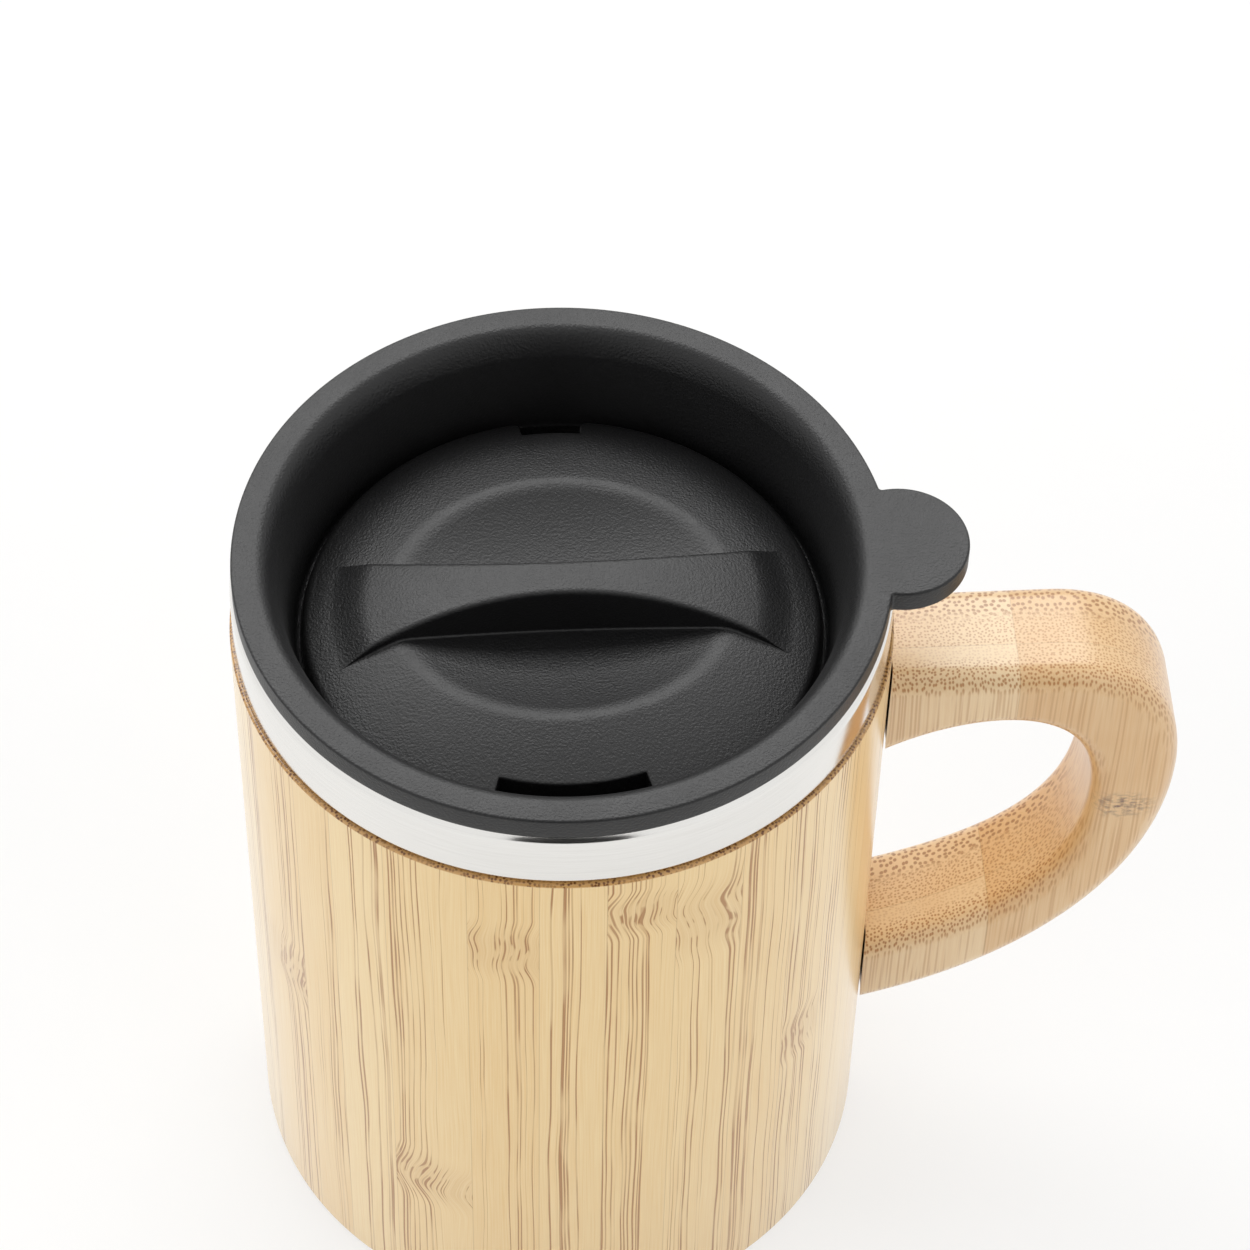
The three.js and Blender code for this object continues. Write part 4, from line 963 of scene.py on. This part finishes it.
def turning_dial():
    bar = bar_outline()
    bar_out = normals_of(bar)
    rim = dial_outline()
    rim_out = normals_of(rim)

    def lay(plan, heights):
        return np.column_stack([plan, LID_TOP + heights])

    def down(amount):
        return np.column_stack([np.zeros((len(amount), 2)), -amount])

    def rolled(start, corner, end):
        steps = np.linspace(0, 1, ROUND_STEPS + 1)
        return [(1 - t) ** 2 * start + 2 * t * (1 - t) * corner + t**2 * end for t in steps]

    wall = (bar_at(bar) - floor_at(bar))[:, None]
    edge = np.minimum(BAR_EDGE_ROUND, BAR_EDGE_SHARE * wall)
    foot = np.minimum(BAR_FOOT_ROUND, BAR_FOOT_SHARE * wall)
    crown = bar - bar_out * edge
    loops = []
    for share in np.linspace(0, 1, CROWN_LOOPS + 1)[:-1]:
        plan = crown * (1, share)
        loops.append(lay(plan, bar_at(plan)))
    corner = lay(bar, bar_at(bar))
    loops += rolled(lay(crown, bar_at(crown)), corner, corner + down(edge))
    corner = lay(bar, floor_at(bar))
    skirt = bar + bar_out * foot
    loops += rolled(corner - down(foot), corner, lay(skirt, floor_at(skirt)))
    reach = np.hypot(rim[:, 0], rim[:, 1])[:, None]
    open_edge = np.clip(1 - (DIAL_RADIUS - reach) / NOTCH_ROUND, 0, 1) ** 2
    edge = NOTCH_EDGE + (DIAL_EDGE - NOTCH_EDGE) * open_edge
    brink = rim - rim_out * edge
    for share in np.linspace(0, 1, RING_LOOPS + 1)[1:-1]:
        plan = skirt * (1 - share) + brink * share
        loops.append(lay(plan, floor_at(plan)))
    corner = lay(rim, floor_at(rim))
    loops += rolled(lay(brink, floor_at(brink)), corner, corner + down(edge))
    angles = np.arctan2(rim[:, 1], rim[:, 0])
    foot_height = DIAL_FOOT + BOND_GAP
    spread = rim * (1 + DIAL_FLARE / DIAL_RADIUS)
    loops.append(np.column_stack([spread, np.full(len(rim), foot_height)]))
    loops.append(ring(HUB_RADIUS, foot_height, angles))
    loops.append(ring(HUB_RADIUS, HUB_FOOT, angles))
    loops.append(ring(0, HUB_FOOT, angles))
    return skin(loops)


made = mesh_object("turning_dial", *turning_dial())
finish_piece(made, polypropylene, "dial", "black_plastic", "drink_dial")


# Floor, light and camera

FLOOR_SIZE = 8
FLOOR_GLOW = 0.7
MOTTLES_PER_METRE = 90
ROOM_STRENGTH = 0.45


def seen_rays(tree):
    """1 for rays that show a thing, straight or in a mirror, and 0 for those that only light it."""
    rays = add(tree, "LightPath")
    seen = add(tree, "Math", {0: rays["Is Camera Ray"], 1: rays["Is Glossy Ray"]}, operation="MAXIMUM")[0]
    return add(tree, "Math", {0: seen, 1: rays["Is Transmission Ray"]}, operation="MAXIMUM")[0]


def studio_floor():
    """Matt white paper, with only part of its light and shade kept for the camera so that it stays pale."""
    material, tree = new_tree("white_paper_matt")
    place = add(tree, "TexCoord")["Object"]
    fibres = add(tree, "TexNoise", {"Vector": place, "Scale": MOTTLES_PER_METRE, "Detail": 3})["Fac"]
    colour = add(tree, "Mix", {0: fibres, 6: linear("#F3F3F2"), 7: linear("#F7F7F6")}, data_type="RGBA")[2]
    paper = add(tree, "BsdfPrincipled", {"Base Color": colour, "Roughness": 0.9})[0]
    glow = add(tree, "Emission", {"Color": linear("#FBFBFB"), "Strength": 1})[0]
    share = add(tree, "Math", {0: seen_rays(tree), 1: FLOOR_GLOW}, operation="MULTIPLY")[0]
    add(tree, "OutputMaterial", {0: add(tree, "MixShader", {0: share, 1: paper, 2: glow})[0]})
    return material


half = FLOOR_SIZE / 2 / MM
corners = [(-half, -half, 0), (half, -half, 0), (half, half, 0), (-half, half, 0)]
floor = mesh_object("studio_floor", corners, [(0, 1, 2, 3)])
floor.data.materials.append(studio_floor())

world = bpy.data.worlds.new("studio")
bpy.context.scene.world = world
world.use_nodes = True
sky = world.node_tree
sky.nodes.clear()
ambient = add(sky, "Background", {"Color": linear("#FFFFFF"), "Strength": ROOM_STRENGTH})[0]
white = add(sky, "Background", {"Color": linear("#FBFBFB"), "Strength": 1})[0]
add(sky, "OutputWorld", {0: add(sky, "MixShader", {0: seen_rays(sky), 1: ambient, 2: white})[0]})

# Each softbox has a place, a width and height in metres, a power in watts, and shows in mirrors or not.
# The side ones only fill the shade: mirrored on top of the white room they would burn out the steel.
AIM = Vector((0.01, 0, 0.09))
SOFTBOXES = (
    ("back_softbox", (-0.08, 0.8, 1.1), (1.7, 0.6), 13.6, True),
    ("left_softbox", (-1.1, -0.7, 0.85), (1.4, 1.4), 8.6, False),
    ("right_softbox", (1.1, -0.7, 0.85), (1.4, 1.4), 8.2, False),
)

for name, place, size, watts, mirrored in SOFTBOXES:
    light = bpy.data.lights.new(name, "AREA")
    light.shape = "RECTANGLE"
    light.size, light.size_y = size
    light.energy = watts
    made = bpy.data.objects.new(name, light)
    made.location = place
    made.rotation_euler = (AIM - Vector(place)).to_track_quat("-Z", "Y").to_euler()
    made.visible_camera = False
    made.visible_glossy = mirrored
    bpy.context.scene.collection.objects.link(made)

# A dark curtain hangs behind the camera, as in a studio, so that steel and plastic have something to mirror
CURTAIN_BACK = -1.2
CURTAIN_WIDTH = 0.72
CURTAIN_HEIGHT = 2.4
THREADS_PER_METRE = 400


def black_cloth():
    """Black cotton, dull and slightly uneven."""
    material, tree = new_tree("cotton_woven_black")
    place = add(tree, "TexCoord")["Object"]
    weave = add(tree, "TexNoise", {"Vector": place, "Scale": THREADS_PER_METRE, "Detail": 2})["Fac"]
    colour = add(tree, "Mix", {0: weave, 6: linear("#161616"), 7: linear("#242323")}, data_type="RGBA")[2]
    cloth = add(tree, "BsdfPrincipled", {"Base Color": colour, "Roughness": 0.95})[0]
    add(tree, "OutputMaterial", {0: cloth})
    return material


back, across, tall = CURTAIN_BACK / MM, CURTAIN_WIDTH / 2 / MM, CURTAIN_HEIGHT / MM
corners = [(-across, back, 0), (across, back, 0), (across, back, tall), (-across, back, tall)]
curtain = mesh_object("dark_curtain", corners, [(0, 1, 2, 3)])
curtain.data.materials.append(black_cloth())
curtain.visible_camera = False

CAMERA_PLACE = Vector((-20.7, -371.3, 578.6)) * MM
CAMERA_TARGET = Vector((8.48, -0.67, 106.94)) * MM
CAMERA_ROLL = math.radians(1.46)
CAMERA_LENS = 127.9
SENSOR = 36

lens = bpy.data.cameras.new("camera")
lens.lens = CAMERA_LENS
lens.sensor_width = SENSOR
camera = bpy.data.objects.new("camera", lens)
bpy.context.scene.collection.objects.link(camera)
forward = (CAMERA_TARGET - CAMERA_PLACE).normalized()
right = forward.cross(Vector((0, 0, 1))).normalized()
up = right.cross(forward)
tilted = right * math.cos(CAMERA_ROLL) + up * math.sin(CAMERA_ROLL)
turned_up = up * math.cos(CAMERA_ROLL) - right * math.sin(CAMERA_ROLL)
pose = Matrix((tilted, turned_up, -forward)).transposed().to_4x4()
pose.translation = CAMERA_PLACE
camera.matrix_world = pose
bpy.context.scene.camera = camera
bpy.context.scene.view_settings.view_transform = "Standard"
